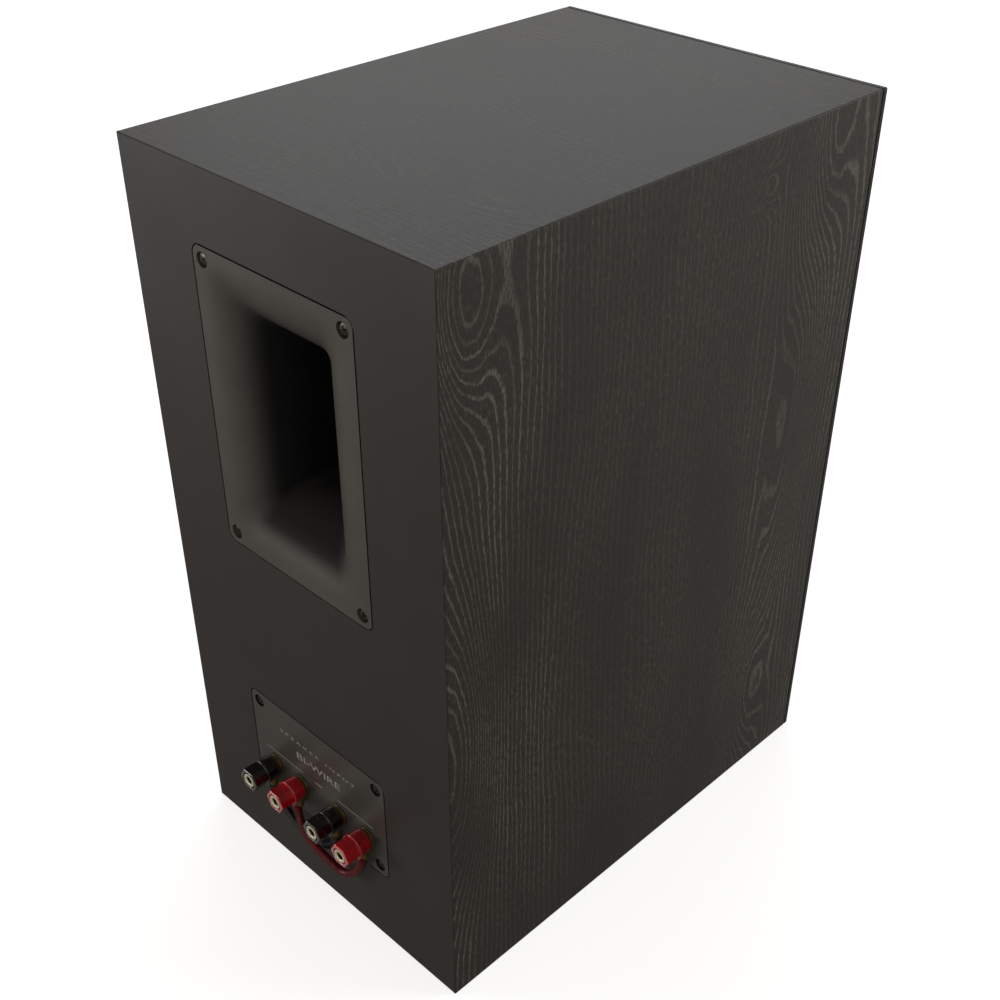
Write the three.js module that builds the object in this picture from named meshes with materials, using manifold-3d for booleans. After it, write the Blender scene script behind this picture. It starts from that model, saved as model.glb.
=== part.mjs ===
// Two-way bookshelf speaker with a flared port and four binding posts on its back.
// Units are millimetres, +Z is up, the front baffle faces -Y and the back faces +Y.
// The origin is the middle of the cabinet's underside.
import * as THREE from 'three';
import { mergeVertices } from 'three/addons/utils/BufferGeometryUtils.js';
import Module from 'manifold-3d';

const wasm = await Module();
wasm.setup();

// ---------------------------------------------------------------- driving dimensions

const CABINET = { width: 202, height: 400, depth: 285, wall: 15 };
const FIT_GAP = 0.3; // clearance between any two pieces that touch
const MITRE_RELIEF = 0.22; // how far a board stops short of each mitred corner
const FASCIA = { thickness: 2.3, shadowGap: 0.9 };
const BAFFLE_THICKNESS = 18;
const OVERCUT = 1; // how far a cutting tool runs past the face it opens

// rear port: a flange, a lip of one radius that rolls inwards, and a straight tube
const PORT = {
  width: 106, height: 154, corner: 5.5, fromTop: 113,
  flange: 3.5, border: 4.3, lipRadius: 32, mouthCorner: 15, throatCorner: 5,
  wall: 2.5, spigotEnd: 46, socketLength: 8, tubeWall: 2, tubeEnd: 128,
};
const PLATE = { width: 106, height: 66.4, corner: 5, centreZ: 80.8, thickness: 3 };
const RECESS_GAP = 0.5; // dark line around the port flange and the terminal plate
const PLATE_OPENING = { halfWidth: 45, halfHeight: 21.7, corner: 4 };
const SCREW = {
  inset: 6.5, headRadius: 2.9, headHeight: 1.6, headBelowFace: 0.3, crownRadius: 2,
  crownDrop: 0.5, shankRadius: 1.5, reach: 12, tipLength: 2, boreRadius: 3.6,
};

// binding posts: each axis runs along Y, and outward distances start at the plate's face
const POST = {
  innerX: 15.2, outerX: 37.6, z: 68, length: 18.65,
  studRadius: 4, socketRadius: 2.2, socketDepth: 15, socketChamfer: 0.6,
  flangeRadius: 6.2, flangeThickness: 0.6, innerEnd: 9, tailRadius: 1.6, tailEnd: 17,
  nutRadius: 6.6, nutThickness: 3, washerThickness: 0.5,
  knobRearRadius: 6.9, ringRadius: 7.2, ringFrom: 9.3, ringThickness: 1,
  hexRadius: 7, hexChamfer: 0.7, boreClearance: 0.5,
};
const LUG = {
  thickness: 0.6, radius: 6, tabWidth: 4.4, tabReach: 9.5,
  barrelRadius: 2.6, barrelLength: 5, barrelFrom: 7.9, barrelOut: 3.5,
};
const JUMPER = { radius: 2.2, sides: 8, steps: 30 };

// drivers: depths start at the fascia's front face and grow towards the back; a width
// called an inset is measured inwards from the woofer flange's rim
const WOOFER = {
  centreZ: 112, flangeRadius: 84, flangeFront: 3, flangeBack: 10,
  holeInset: 7, landingInset: 11, mouthInset: 14.5, coneInset: 24, landing: 7.3,
  trimInset: 12.5, trimOverlap: 2, trimProud: 1, trimSlope: 2.5, trimRound: 1.2,
  coneDepth: 22, coneThickness: 1, rollRadius: 5.5, rollThickness: 1, rollShift: 0.5,
  surroundLap: 2.5, capOverhang: 4.5, capHeight: 7.6,
  coilRadius: 19, formerThickness: 0.6, formerLap: 2,
  windingThickness: 0.8, windingLength: 13, coilEnd: 62,
  spiderRadius: 49.7, spiderShelf: 41, spiderThickness: 1.1,
  shelfInner: 46, shelfOuter: 53, shelfRib: 3, cornerRelief: 2, basketBack: 53,
  basketFloor: 3, windowWidth: 40, windowFrom: 4,
  topPlateRadius: 52, topPlateThickness: 6, poleProud: 1, poleGap: 0.8, plateGap: 0.7,
  magnetInner: 28, magnetRadius: 58, magnetThickness: 18,
  yokeRadius: 50, yokeThickness: 6, ventRadius: 5,
};
const TWEETER = {
  fromTop: 104, plateRadius: 66, plateEdge: 0.4, mouthRadius: 58, throatRadius: 16.2,
  throatDepth: 15.5, bellPower: 1.5, plateBack: 17.5, bowlRadius: 53, bowlBack: 5,
  bossRadius: 34, bossRise: 6, domeRadius: 12.4, domeHeight: 5.6,
  domeThickness: 0.6, coilLength: 5, coilThickness: 0.4, surroundOuter: 22,
  surroundThickness: 0.6, rollRadius: 1.5, topPlateRadius: 30, topPlateThickness: 2.5,
  magnetInner: 17, magnetRadius: 32, magnetThickness: 10, yokeThickness: 4, poleGap: 0.5,
};

// crossover on the cabinet's floor; coils and capacitors are placed from the board's centre
const BOARD = { width: 110, depth: 90, thickness: 1.6, centreY: 55 };
const WOOFER_COIL = { inner: 9, outer: 20, height: 20, x: -30, y: -16 };
const TWEETER_COIL = { inner: 6, outer: 13, height: 14, x: 30, y: -20 };
const CAPACITOR_1 = { radius: 9, length: 34, x: -28, y: 27 };
const CAPACITOR_2 = { radius: 8, length: 30, x: 28, y: 24 };
const LEAD = { radius: 1.6, sides: 6, steps: 24 };

const ROUND_SIDES = 24; // faces around a driver's rings
const MEDIUM_SIDES = 16; // faces around the tweeter's dome and the crossover's coils
const SMALL_SIDES = 12; // faces around posts, screws and bores

// ---------------------------------------------------------------- derived places

const halfWidth = CABINET.width / 2;
const backFace = CABINET.depth / 2;
const cabinetFront = -CABINET.depth / 2;
const fasciaBack = cabinetFront - FASCIA.shadowGap;
const frontFace = fasciaBack - FASCIA.thickness;
const baffleFront = FASCIA.thickness + FIT_GAP; // as a driver depth
const baffleBack = baffleFront + BAFFLE_THICKNESS;
const portZ = CABINET.height - PORT.fromTop;
const tweeterZ = CABINET.height - TWEETER.fromTop;
const mouth = {
  halfWidth: PORT.width / 2 - PORT.border,
  halfHeight: PORT.height / 2 - PORT.border,
};
const holeRadius = WOOFER.flangeRadius - WOOFER.holeInset;
const landingRadius = WOOFER.flangeRadius - WOOFER.landingInset;
const mouthRadius = WOOFER.flangeRadius - WOOFER.mouthInset;
const coneRadius = WOOFER.flangeRadius - WOOFER.coneInset;
const trimInner = WOOFER.flangeRadius - WOOFER.trimInset;
const trimRadius = WOOFER.flangeRadius + WOOFER.trimOverlap;

// ---------------------------------------------------------------- finishes

const finish = (color, roughness, metalness = 0) =>
  new THREE.MeshStandardMaterial({ color, roughness, metalness });

const FINISH = {
  vinyl: () => finish(0x2b2824, 0.55),
  backPaint: () => finish(0x383430, 0.7),
  fascia: () => finish(0x121212, 0.45),
  moulding: () => finish(0x3a3733, 0.5),
  screw: () => finish(0x0c0c0c, 0.35, 0.6),
  gold: () => finish(0xb89a50, 0.25, 1),
  blackKnob: () => finish(0x0b0a0c, 0.15),
  redKnob: () => finish(0x9c0f1c, 0.15),
  redCable: () => finish(0x5a0508, 0.4),
  blackCable: () => finish(0x0d0d0f, 0.4),
  castMetal: () => finish(0x26272a, 0.6, 0.7),
  rubber: () => finish(0x101010, 0.7),
  cone: () => finish(0x1b1c1e, 0.5),
  cloth: () => finish(0x8a6a35, 0.9),
  copper: () => finish(0x8c4a22, 0.4, 1),
  ferrite: () => finish(0x2c2c2e, 0.8),
  steel: () => finish(0x6a6c70, 0.4, 1),
  board: () => finish(0x1d3b24, 0.6),
  capacitor: () => finish(0x22324e, 0.4),
};

// ---------------------------------------------------------------- solid helpers

function solidOf(geometry) {
  const bare = geometry.clone();
  bare.deleteAttribute('normal');
  bare.deleteAttribute('uv');
  const merged = mergeVertices(bare, 1e-4);
  return new wasm.Manifold(new wasm.Mesh({
    numProp: 3,
    vertProperties: new Float32Array(merged.attributes.position.array),
    triVerts: new Uint32Array(merged.index.array),
  }));
}

function geometryOf(solid) {
  const mesh = solid.getMesh();
  const geometry = new THREE.BufferGeometry();
  geometry.setAttribute('position', new THREE.BufferAttribute(mesh.vertProperties, 3));
  geometry.setIndex(new THREE.BufferAttribute(mesh.triVerts, 1));
  return geometry;
}

const cut = (body, tools) =>
  geometryOf(tools.reduce((solid, tool) => solid.subtract(solidOf(tool)), solidOf(body)));

const join = (bodies) =>
  geometryOf(bodies.slice(1).reduce((solid, b) => solid.add(solidOf(b)), solidOf(bodies[0])));

// A solid turned about the Y axis from [radius, y] points; a profile off the axis closes
// on itself, and its points may run either way round.
function turned(profile, sides = ROUND_SIDES) {
  const onAxis = profile[0][0] === 0 && profile.at(-1)[0] === 0;
  const closed = onAxis ? profile : [...profile, profile[0]];
  let area = 0;
  closed.forEach(([r, y], i) => {
    const [r2, y2] = closed[(i + 1) % closed.length];
    area += r * y2 - r2 * y;
  });
  const ordered = area > 0 ? closed : [...closed].reverse();
  return new THREE.LatheGeometry(ordered.map(([r, y]) => new THREE.Vector2(r, y)), sides);
}

const ring = (inner, outer, from, to, sides) =>
  turned([[inner, from], [outer, from], [outer, to], [inner, to]], sides);

const rod = (radius, from, to, sides) =>
  turned([[0, from], [radius, from], [radius, to], [0, to]], sides);

const box = (x0, x1, y0, y1, z0, z1) => new THREE.BoxGeometry(x1 - x0, y1 - y0, z1 - z0)
  .translate((x0 + x1) / 2, (y0 + y1) / 2, (z0 + z1) / 2);

function roundedRectangle(width, height, corner) {
  const [w, h] = [width / 2, height / 2];
  const shape = new THREE.Shape();
  shape.moveTo(w, -h + corner);
  shape.absarc(w - corner, h - corner, corner, 0, Math.PI / 2);
  shape.absarc(-w + corner, h - corner, corner, Math.PI / 2, Math.PI);
  shape.absarc(-w + corner, -h + corner, corner, Math.PI, 1.5 * Math.PI);
  shape.absarc(w - corner, -h + corner, corner, 1.5 * Math.PI, 2 * Math.PI);
  return shape;
}

// A plate with round corners that stands in the XZ plane between y0 and y1.
const slab = (width, height, corner, y0, y1) =>
  new THREE.ExtrudeGeometry(roundedRectangle(width, height, corner),
    { depth: y1 - y0, bevelEnabled: false, curveSegments: 3 })
    .rotateX(Math.PI / 2).translate(0, y1, 0);

// A bar along Y through rounded-rectangle rings { y, halfWidth, halfHeight, corner }, whose
// y falls from ring to ring.
function loft(rings, stepsPerCorner = 3) {
  const count = 4 * (stepsPerCorner + 1);
  const bar = new THREE.CylinderGeometry(1, 1, 1, count, rings.length - 1);
  const position = bar.attributes.position;
  const outline = (place, { y, halfWidth: w, halfHeight: h, corner }) => {
    const quarter = Math.floor(place / (stepsPerCorner + 1)) % 4;
    const step = place % (stepsPerCorner + 1);
    const angle = (quarter + step / stepsPerCorner) * (Math.PI / 2);
    const sideX = quarter === 0 || quarter === 3 ? 1 : -1;
    const sideZ = quarter < 2 ? 1 : -1;
    return [sideX * (w - corner) + corner * Math.cos(angle), y,
      sideZ * (h - corner) + corner * Math.sin(angle)];
  };
  for (let i = 0; i < position.count; i += 1) {
    const [x, y, z] = [position.getX(i), position.getY(i), position.getZ(i)];
    const row = Math.round((0.5 - y) * (rings.length - 1));
    const turn = Math.atan2(x, z) / (2 * Math.PI);
    const place = (count - Math.round(turn * count)) % count;
    const radius = Math.hypot(x, z);
    if (radius < 0.5) position.setXYZ(i, 0, rings[row].y, 0);
    else position.setXYZ(i, ...outline(place, rings[row]));
  }
  return bar;
}

// A board whose outer and inner rectangles differ, so its edges are mitred.
function mitredBoard(place) {
  const board = new THREE.BoxGeometry(2, 2, 2);
  const position = board.attributes.position;
  for (let i = 0; i < position.count; i += 1) {
    const point = place(position.getX(i), position.getY(i), position.getZ(i) > 0);
    position.setXYZ(i, ...point);
  }
  return board;
}

function hose(points, { radius, sides, steps }) {
  const path = new THREE.CatmullRomCurve3(points.map((p) => new THREE.Vector3(...p)));
  const section = new THREE.Shape();
  for (let i = 0; i < sides; i += 1) {
    const angle = (i / sides) * 2 * Math.PI;
    const [x, y] = [radius * Math.cos(angle), radius * Math.sin(angle)];
    if (i === 0) section.moveTo(x, y);
    else section.lineTo(x, y);
  }
  return new THREE.ExtrudeGeometry(section, { steps, extrudePath: path, bevelEnabled: false });
}

const arc = (centreR, centreY, radius, from, to, steps) =>
  Array.from({ length: steps + 1 }, (_, i) => {
    const angle = from + ((to - from) * i) / steps;
    return [centreR + radius * Math.cos(angle), centreY + radius * Math.sin(angle)];
  });

const speaker = new THREE.Group();
speaker.name = 'bookshelf_speaker';

function place(parent, name, geometry, material, position = [0, 0, 0]) {
  const mesh = new THREE.Mesh(geometry, material);
  mesh.name = name;
  mesh.position.set(...position);
  parent.add(mesh);
}

function groupAt(x, y, z) {
  const group = new THREE.Group();
  group.position.set(x, y, z);
  speaker.add(group);
  return group;
}

// ---------------------------------------------------------------- port shape

// The lip is a quarter circle, so the opening narrows with depth until the throat.
function portOpening(depth) {
  const turn = Math.acos(Math.max(0, 1 - Math.max(0, depth) / PORT.lipRadius));
  const inset = PORT.lipRadius * Math.sin(turn);
  const spread = (1 - Math.sin(turn)) ** 2;
  return {
    y: -depth,
    halfWidth: mouth.halfWidth - inset,
    halfHeight: mouth.halfHeight - inset,
    corner: PORT.throatCorner + (PORT.mouthCorner - PORT.throatCorner) * spread,
  };
}

const grown = (opening, by, y = opening.y) => ({
  y, halfWidth: opening.halfWidth + by, halfHeight: opening.halfHeight + by,
  corner: opening.corner + by,
});

const LIP_STEPS = 7;
const lipDepths = Array.from({ length: LIP_STEPS + 1 },
  (_, i) => PORT.lipRadius * (1 - Math.cos((i / LIP_STEPS) * (Math.PI / 2))));
const throat = portOpening(PORT.lipRadius);
const flangeRoot = portOpening(PORT.flange);

// ---------------------------------------------------------------- fasteners

// Screw places [x, z] from a panel's own centre.
const cornerScrews = (panel) => [[1, 1], [-1, 1], [1, -1], [-1, -1]].map(([sx, sz]) => [
  sx * (panel.width / 2 - SCREW.inset),
  sz * (panel.height / 2 - SCREW.inset),
]);

const screwHead = -SCREW.headBelowFace;
const screwSeat = screwHead - SCREW.headHeight;

const screw = () => turned([
  [0, screwHead], [SCREW.crownRadius, screwHead],
  [SCREW.headRadius, screwHead - SCREW.crownDrop],
  [SCREW.headRadius, screwSeat], [SCREW.shankRadius, screwSeat],
  [SCREW.shankRadius, -SCREW.reach + SCREW.tipLength], [0, -SCREW.reach],
], SMALL_SIDES);

const screwBore = (x, z) =>
  rod(SCREW.boreRadius, screwSeat - FIT_GAP, OVERCUT, SMALL_SIDES).translate(x, 0, z);
const screwHole = (x, z) =>
  rod(SCREW.shankRadius + FIT_GAP, -SCREW.reach - OVERCUT, OVERCUT, SMALL_SIDES)
    .translate(x, 0, z);
const screwBores = (panel) =>
  cornerScrews(panel).flatMap(([x, z]) => [screwBore(x, z), screwHole(x, z)]);

function placeScrews(panel, centreZ, prefix) {
  cornerScrews(panel).forEach(([x, z], i) => {
    place(speaker, `${prefix}_${i + 1}`, screw(), FINISH.screw(), [x, backFace, centreZ + z]);
  });
}

// ---------------------------------------------------------------- cabinet

// The pocket for the woofer's flange; where the walls are thick it runs into the side boards.
const wooferSeat = () =>
  rod(WOOFER.flangeRadius + FIT_GAP, 0, WOOFER.flangeBack + FIT_GAP)
    .translate(0, 0, WOOFER.centreZ);

function sidePanel(side) {
  const board = mitredBoard((x, y, up) => {
    const outer = x * side > 0;
    const inset = (outer ? 0 : CABINET.wall) + MITRE_RELIEF;
    return [side * (outer ? halfWidth : halfWidth - CABINET.wall),
      y > 0 ? backFace - inset : cabinetFront,
      up ? CABINET.height - inset : inset];
  });
  return cut(board, [wooferSeat().translate(0, frontFace, 0)]);
}

function levelPanel(isTop) {
  return mitredBoard((x, y, up) => {
    const outer = up === isTop;
    const inset = (outer ? 0 : CABINET.wall) + MITRE_RELIEF;
    const fromEdge = outer ? 0 : CABINET.wall;
    return [Math.sign(x) * (halfWidth - inset),
      y > 0 ? backFace - inset : cabinetFront,
      isTop ? CABINET.height - fromEdge : fromEdge];
  });
}

function backPanel() {
  const board = mitredBoard((x, y, up) => {
    const inset = (y > 0 ? 0 : CABINET.wall) + MITRE_RELIEF;
    return [Math.sign(x) * (halfWidth - inset), y > 0 ? backFace : backFace - CABINET.wall,
      up ? CABINET.height - inset : inset];
  });
  const recess = (panel, thickness) => slab(
    panel.width + 2 * RECESS_GAP, panel.height + 2 * RECESS_GAP, panel.corner + RECESS_GAP,
    -thickness - FIT_GAP, OVERCUT,
  );
  const portHole = slab(
    2 * (flangeRoot.halfWidth + PORT.wall + RECESS_GAP),
    2 * (flangeRoot.halfHeight + PORT.wall + RECESS_GAP),
    flangeRoot.corner + PORT.wall, -CABINET.wall - OVERCUT, OVERCUT,
  );
  const terminalHole = slab(
    2 * PLATE_OPENING.halfWidth, 2 * PLATE_OPENING.halfHeight, PLATE_OPENING.corner,
    -CABINET.wall - OVERCUT, OVERCUT,
  );
  const pilots = (panel) => cornerScrews(panel).map(([x, z]) => screwHole(x, z));
  const forPort = [recess(PORT, PORT.flange), portHole, ...pilots(PORT)];
  const forPlate = [recess(PLATE, PLATE.thickness), terminalHole, ...pilots(PLATE)];
  return cut(board, [
    ...forPort.map((tool) => tool.translate(0, backFace, portZ)),
    ...forPlate.map((tool) => tool.translate(0, backFace, PLATE.centreZ)),
  ]);
}

function frontBaffle() {
  const inner = CABINET.wall + FIT_GAP;
  const board = box(-halfWidth + inner, halfWidth - inner, baffleFront, baffleBack,
    inner, CABINET.height - inner);
  const wooferHole = rod(holeRadius, 0, baffleBack + OVERCUT).translate(0, 0, WOOFER.centreZ);
  const tweeterHole = rod(TWEETER.bowlRadius + FIT_GAP, 0, baffleBack + OVERCUT)
    .translate(0, 0, tweeterZ);
  return cut(board, [wooferHole, wooferSeat(), tweeterHole]);
}

function frontFascia() {
  const sheet = box(-halfWidth, halfWidth, 0, FASCIA.thickness, 0, CABINET.height);
  return cut(sheet, [
    rod(trimRadius + FIT_GAP, -OVERCUT, FASCIA.thickness + OVERCUT)
      .translate(0, 0, WOOFER.centreZ),
    rod(TWEETER.plateRadius + FIT_GAP, -OVERCUT, FASCIA.thickness + OVERCUT)
      .translate(0, 0, tweeterZ),
  ]);
}

place(speaker, 'left_side_panel', sidePanel(1), FINISH.vinyl());
place(speaker, 'right_side_panel', sidePanel(-1), FINISH.vinyl());
place(speaker, 'top_panel', levelPanel(true), FINISH.vinyl());
place(speaker, 'bottom_panel', levelPanel(false), FINISH.vinyl());
place(speaker, 'back_panel', backPanel(), FINISH.backPaint());
place(speaker, 'front_baffle', frontBaffle(), FINISH.backPaint(), [0, frontFace, 0]);
place(speaker, 'front_fascia', frontFascia(), FINISH.fascia(), [0, frontFace, 0]);

// ---------------------------------------------------------------- port

function portFlare() {
  const flange = slab(PORT.width, PORT.height, PORT.corner, -PORT.flange, 0);
  const shell = loft([
    grown(flangeRoot, PORT.wall, -PORT.flange / 2),
    ...lipDepths.filter((d) => d > PORT.flange / 2).map((d) => grown(portOpening(d), PORT.wall)),
    grown(throat, PORT.wall, -PORT.spigotEnd),
  ]);
  const air = loft([
    grown(portOpening(0), 0, OVERCUT),
    ...lipDepths.map(portOpening),
    grown(throat, 0, -PORT.spigotEnd - OVERCUT),
  ]);
  return cut(join([flange, shell]), [air, ...screwBores(PORT)]);
}

function portTube() {
  const socketFrom = PORT.spigotEnd - PORT.socketLength;
  const outside = PORT.wall + FIT_GAP + PORT.tubeWall;
  const sleeve = loft([
    grown(throat, outside, -socketFrom),
    grown(throat, outside, -PORT.spigotEnd - PORT.tubeWall),
    grown(throat, PORT.wall, -PORT.spigotEnd - 2 * PORT.tubeWall),
    grown(throat, PORT.wall, -PORT.tubeEnd),
  ]);
  const socket = loft([
    grown(throat, PORT.wall + FIT_GAP, -socketFrom + OVERCUT),
    grown(throat, PORT.wall + FIT_GAP, -PORT.spigotEnd - FIT_GAP),
  ]);
  const air = loft([
    grown(throat, 0, -socketFrom + OVERCUT),
    grown(throat, 0, -PORT.tubeEnd - OVERCUT),
  ]);
  return cut(sleeve, [socket, air]);
}

place(speaker, 'port_flare', portFlare(), FINISH.moulding(), [0, backFace, portZ]);
place(speaker, 'port_tube', portTube(), FINISH.moulding(), [0, backFace, portZ]);
placeScrews(PORT, portZ, 'port_screw');

// ---------------------------------------------------------------- terminals

const postPlaces = [POST.outerX, POST.innerX, -POST.innerX, -POST.outerX];
const lugBack = POST.flangeThickness + 2 * FIT_GAP;
const washerBack = lugBack + LUG.thickness + FIT_GAP;
const knobBack = washerBack + POST.washerThickness + FIT_GAP;
const ringEnd = POST.ringFrom + POST.ringThickness;

function terminalPlate() {
  const plate = slab(PLATE.width, PLATE.height, PLATE.corner, -PLATE.thickness, 0);
  const studHoles = postPlaces.map((x) =>
    rod(POST.studRadius + FIT_GAP, -PLATE.thickness - OVERCUT, OVERCUT, SMALL_SIDES)
      .translate(x, 0, POST.z - PLATE.centreZ));
  return cut(plate, [...studHoles, ...screwBores(PLATE)]);
}

function stud() {
  const socketFloor = POST.length - POST.socketDepth;
  return turned([
    [0, socketFloor], [POST.socketRadius, socketFloor],
    [POST.socketRadius, POST.length - POST.socketChamfer],
    [POST.socketRadius + POST.socketChamfer, POST.length], [POST.studRadius, POST.length],
    [POST.studRadius, FIT_GAP + POST.flangeThickness],
    [POST.flangeRadius, FIT_GAP + POST.flangeThickness], [POST.flangeRadius, FIT_GAP],
    [POST.studRadius, FIT_GAP], [POST.studRadius, -POST.innerEnd],
    [POST.tailRadius, -POST.innerEnd], [POST.tailRadius, -POST.tailEnd], [0, -POST.tailEnd],
  ], SMALL_SIDES);
}

function nut() {
  const from = -PLATE.thickness - FIT_GAP;
  const hex = turned([[0, from - POST.nutThickness], [POST.nutRadius, from - POST.nutThickness],
    [POST.nutRadius, from], [0, from]], 6);
  const hole = rod(POST.studRadius + FIT_GAP, from - POST.nutThickness - OVERCUT, OVERCUT,
    SMALL_SIDES);
  return cut(hex, [hole]);
}

function knob() {
  const bore = POST.studRadius + POST.boreClearance;
  const round = rod(POST.knobRearRadius, knobBack, ringEnd, SMALL_SIDES);
  const collar = rod(POST.ringRadius, POST.ringFrom, ringEnd, SMALL_SIDES);
  const hex = turned([
    [0, ringEnd - POST.ringThickness / 2], [POST.hexRadius, ringEnd - POST.ringThickness / 2],
    [POST.hexRadius, POST.length - POST.hexChamfer],
    [POST.hexRadius - POST.hexChamfer, POST.length], [0, POST.length],
  ], 6).rotateY(Math.PI / 6);
  return cut(join([round, collar, hex]),
    [rod(bore, knobBack - OVERCUT, POST.length + OVERCUT, SMALL_SIDES)]);
}

place(speaker, 'terminal_plate', terminalPlate(), FINISH.moulding(),
  [0, backFace, PLATE.centreZ]);
placeScrews(PLATE, PLATE.centreZ, 'plate_screw');

postPlaces.forEach((x, i) => {
  const post = groupAt(x, backFace, POST.z);
  const name = `post_${i + 1}`;
  const colour = i % 2 === 0 ? FINISH.blackKnob() : FINISH.redKnob();
  place(post, `${name}_stud`, stud(), FINISH.gold());
  place(post, `${name}_nut`, nut(), FINISH.gold());
  place(post, `${name}_washer`, ring(POST.studRadius + FIT_GAP, POST.flangeRadius,
    washerBack, washerBack + POST.washerThickness, SMALL_SIDES), FINISH.gold());
  place(post, `${name}_knob`, knob(), colour);
});

// Each jumper is a lead with a ring lug crimped on both ends, clamped under two knobs.
// Route points are [x, distance out from the plate, z].
const BLACK_ROUTE = [
  [37.6, 3.2, 59.5], [37.6, 3.6, 54], [35.6, 3.3, 48.5], [31.6, 3, 43.8], [26.4, 2.8, 40.2],
  [20.3, 2.7, 37.4], [13.5, 2.6, 35.4], [6.5, 2.6, 34.6], [0.5, 2.6, 35.6], [-4.6, 2.7, 38.2],
  [-9.4, 2.9, 42.4], [-13, 3.2, 47.6], [-15, 3.6, 53.6], [-15.2, 3.2, 59.5],
];
const RED_ROUTE = [
  [15.2, 3.2, 59.5], [15.1, 4.8, 53.8], [12.6, 5.8, 49.2], [9, 6.8, 45], [4.2, 7.4, 41.6],
  [-2.4, 7.5, 39.2], [-9, 7, 36.8], [-15, 6.2, 34.2], [-20, 5.5, 32.8], [-25.8, 5, 35],
  [-31.8, 4.8, 41.2], [-36, 4.7, 48.4], [-37.5, 4.4, 54], [-37.6, 3.2, 59.5],
];

function lug(x) {
  const eye = rod(LUG.radius, lugBack, lugBack + LUG.thickness, SMALL_SIDES)
    .translate(x, 0, POST.z);
  const tab = box(x - LUG.tabWidth / 2, x + LUG.tabWidth / 2, lugBack,
    lugBack + LUG.thickness, POST.z - LUG.tabReach, POST.z - LUG.radius / 2);
  const barrel = new THREE.CylinderGeometry(LUG.barrelRadius, LUG.barrelRadius,
    LUG.barrelLength, SMALL_SIDES).rotateX(Math.PI / 2)
    .translate(x, LUG.barrelOut, POST.z - LUG.barrelFrom - LUG.barrelLength / 2);
  return [eye, tab, barrel];
}

function jumper(route, ends) {
  const lead = hose(route, JUMPER);
  const holes = ends.map((x) => rod(POST.studRadius + FIT_GAP, lugBack - OVERCUT,
    lugBack + LUG.thickness + OVERCUT, SMALL_SIDES).translate(x, 0, POST.z));
  return cut(join([lead, ...ends.flatMap(lug)]), holes);
}

const [blackFrom, redFrom, blackTo, redTo] = postPlaces;
place(speaker, 'black_jumper', jumper(BLACK_ROUTE, [blackFrom, blackTo]),
  FINISH.blackCable(), [0, backFace, 0]);
place(speaker, 'red_jumper', jumper(RED_ROUTE, [redFrom, redTo]),
  FINISH.redCable(), [0, backFace, 0]);

// ---------------------------------------------------------------- woofer

const woofer = groupAt(0, frontFace, WOOFER.centreZ);
const coneEdge = WOOFER.landing;
const coneNeck = coneEdge + WOOFER.coneDepth;
const neckRadius = WOOFER.coilRadius + FIT_GAP;
const coneSlope = WOOFER.coneDepth / (coneRadius - neckRadius);
const coneAt = (radius) => coneEdge + (coneRadius - radius) * coneSlope;
const rollCentre = (coneRadius + mouthRadius) / 2 + WOOFER.rollShift;
const capRadius = WOOFER.coilRadius + WOOFER.capOverhang;
const footFront = WOOFER.landing - FIT_GAP - WOOFER.rollThickness;
const footBack = WOOFER.landing - FIT_GAP;
const topPlateFront = WOOFER.basketBack + FIT_GAP;
const magnetFront = topPlateFront + WOOFER.topPlateThickness + FIT_GAP;
const yokeFront = magnetFront + WOOFER.magnetThickness + FIT_GAP;

function basket() {
  const floor = WOOFER.basketBack - WOOFER.basketFloor;
  const frame = turned([
    [landingRadius, WOOFER.flangeFront], [WOOFER.flangeRadius, WOOFER.flangeFront],
    [WOOFER.flangeRadius, WOOFER.flangeBack], [holeRadius - FIT_GAP, WOOFER.flangeBack],
    [WOOFER.shelfOuter, WOOFER.spiderShelf + WOOFER.shelfRib],
    [WOOFER.shelfOuter, WOOFER.basketBack],
    [WOOFER.magnetInner, WOOFER.basketBack], [WOOFER.magnetInner, floor],
    [WOOFER.shelfInner, floor], [WOOFER.shelfInner, WOOFER.spiderShelf],
    [WOOFER.spiderRadius + FIT_GAP, WOOFER.spiderShelf],
    [landingRadius - WOOFER.cornerRelief, WOOFER.flangeBack],
    [mouthRadius, WOOFER.flangeBack],
    [mouthRadius, WOOFER.landing], [landingRadius, WOOFER.landing],
  ]);
  const reach = WOOFER.flangeRadius + OVERCUT;
  const slot = WOOFER.windowWidth / 2;
  const windows = [0, 1, 2].map((i) => box(-reach, reach, WOOFER.flangeBack + WOOFER.windowFrom,
    WOOFER.spiderShelf - WOOFER.shelfRib, -slot, slot).rotateY((i * Math.PI) / 3));
  return cut(frame, windows);
}

function surround() {
  const outerFoot = landingRadius - FIT_GAP;
  const innerFoot = coneRadius - WOOFER.surroundLap;
  const mid = (footFront + footBack) / 2;
  const crest = arc(rollCentre, mid, WOOFER.rollRadius, 0, -Math.PI, 5);
  const hollow = arc(rollCentre, mid, WOOFER.rollRadius - WOOFER.rollThickness, -Math.PI, 0, 5);
  return turned([[outerFoot, footBack], [outerFoot, footFront], ...crest,
    [innerFoot, footFront], [innerFoot, footBack],
    ...hollow.map(([r, y]) => [r, Math.min(y, footBack)])]);
}

const cone = () => turned([
  [coneRadius, coneEdge], [neckRadius, coneNeck],
  [neckRadius, coneNeck + WOOFER.coneThickness],
  [coneRadius, coneEdge + WOOFER.coneThickness],
]);

function shallowCap(radius, height, rim, thickness, steps = 3) {
  const ball = (radius ** 2 + height ** 2) / (2 * height);
  const spread = Math.asin(radius / ball);
  const curve = (size) => Array.from({ length: steps + 1 }, (_, i) => {
    const angle = (spread * i) / steps;
    return [size * Math.sin(angle), rim + ball - height - size * Math.cos(angle)];
  });
  return [...curve(ball), ...curve(ball - thickness).reverse()];
}

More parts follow.
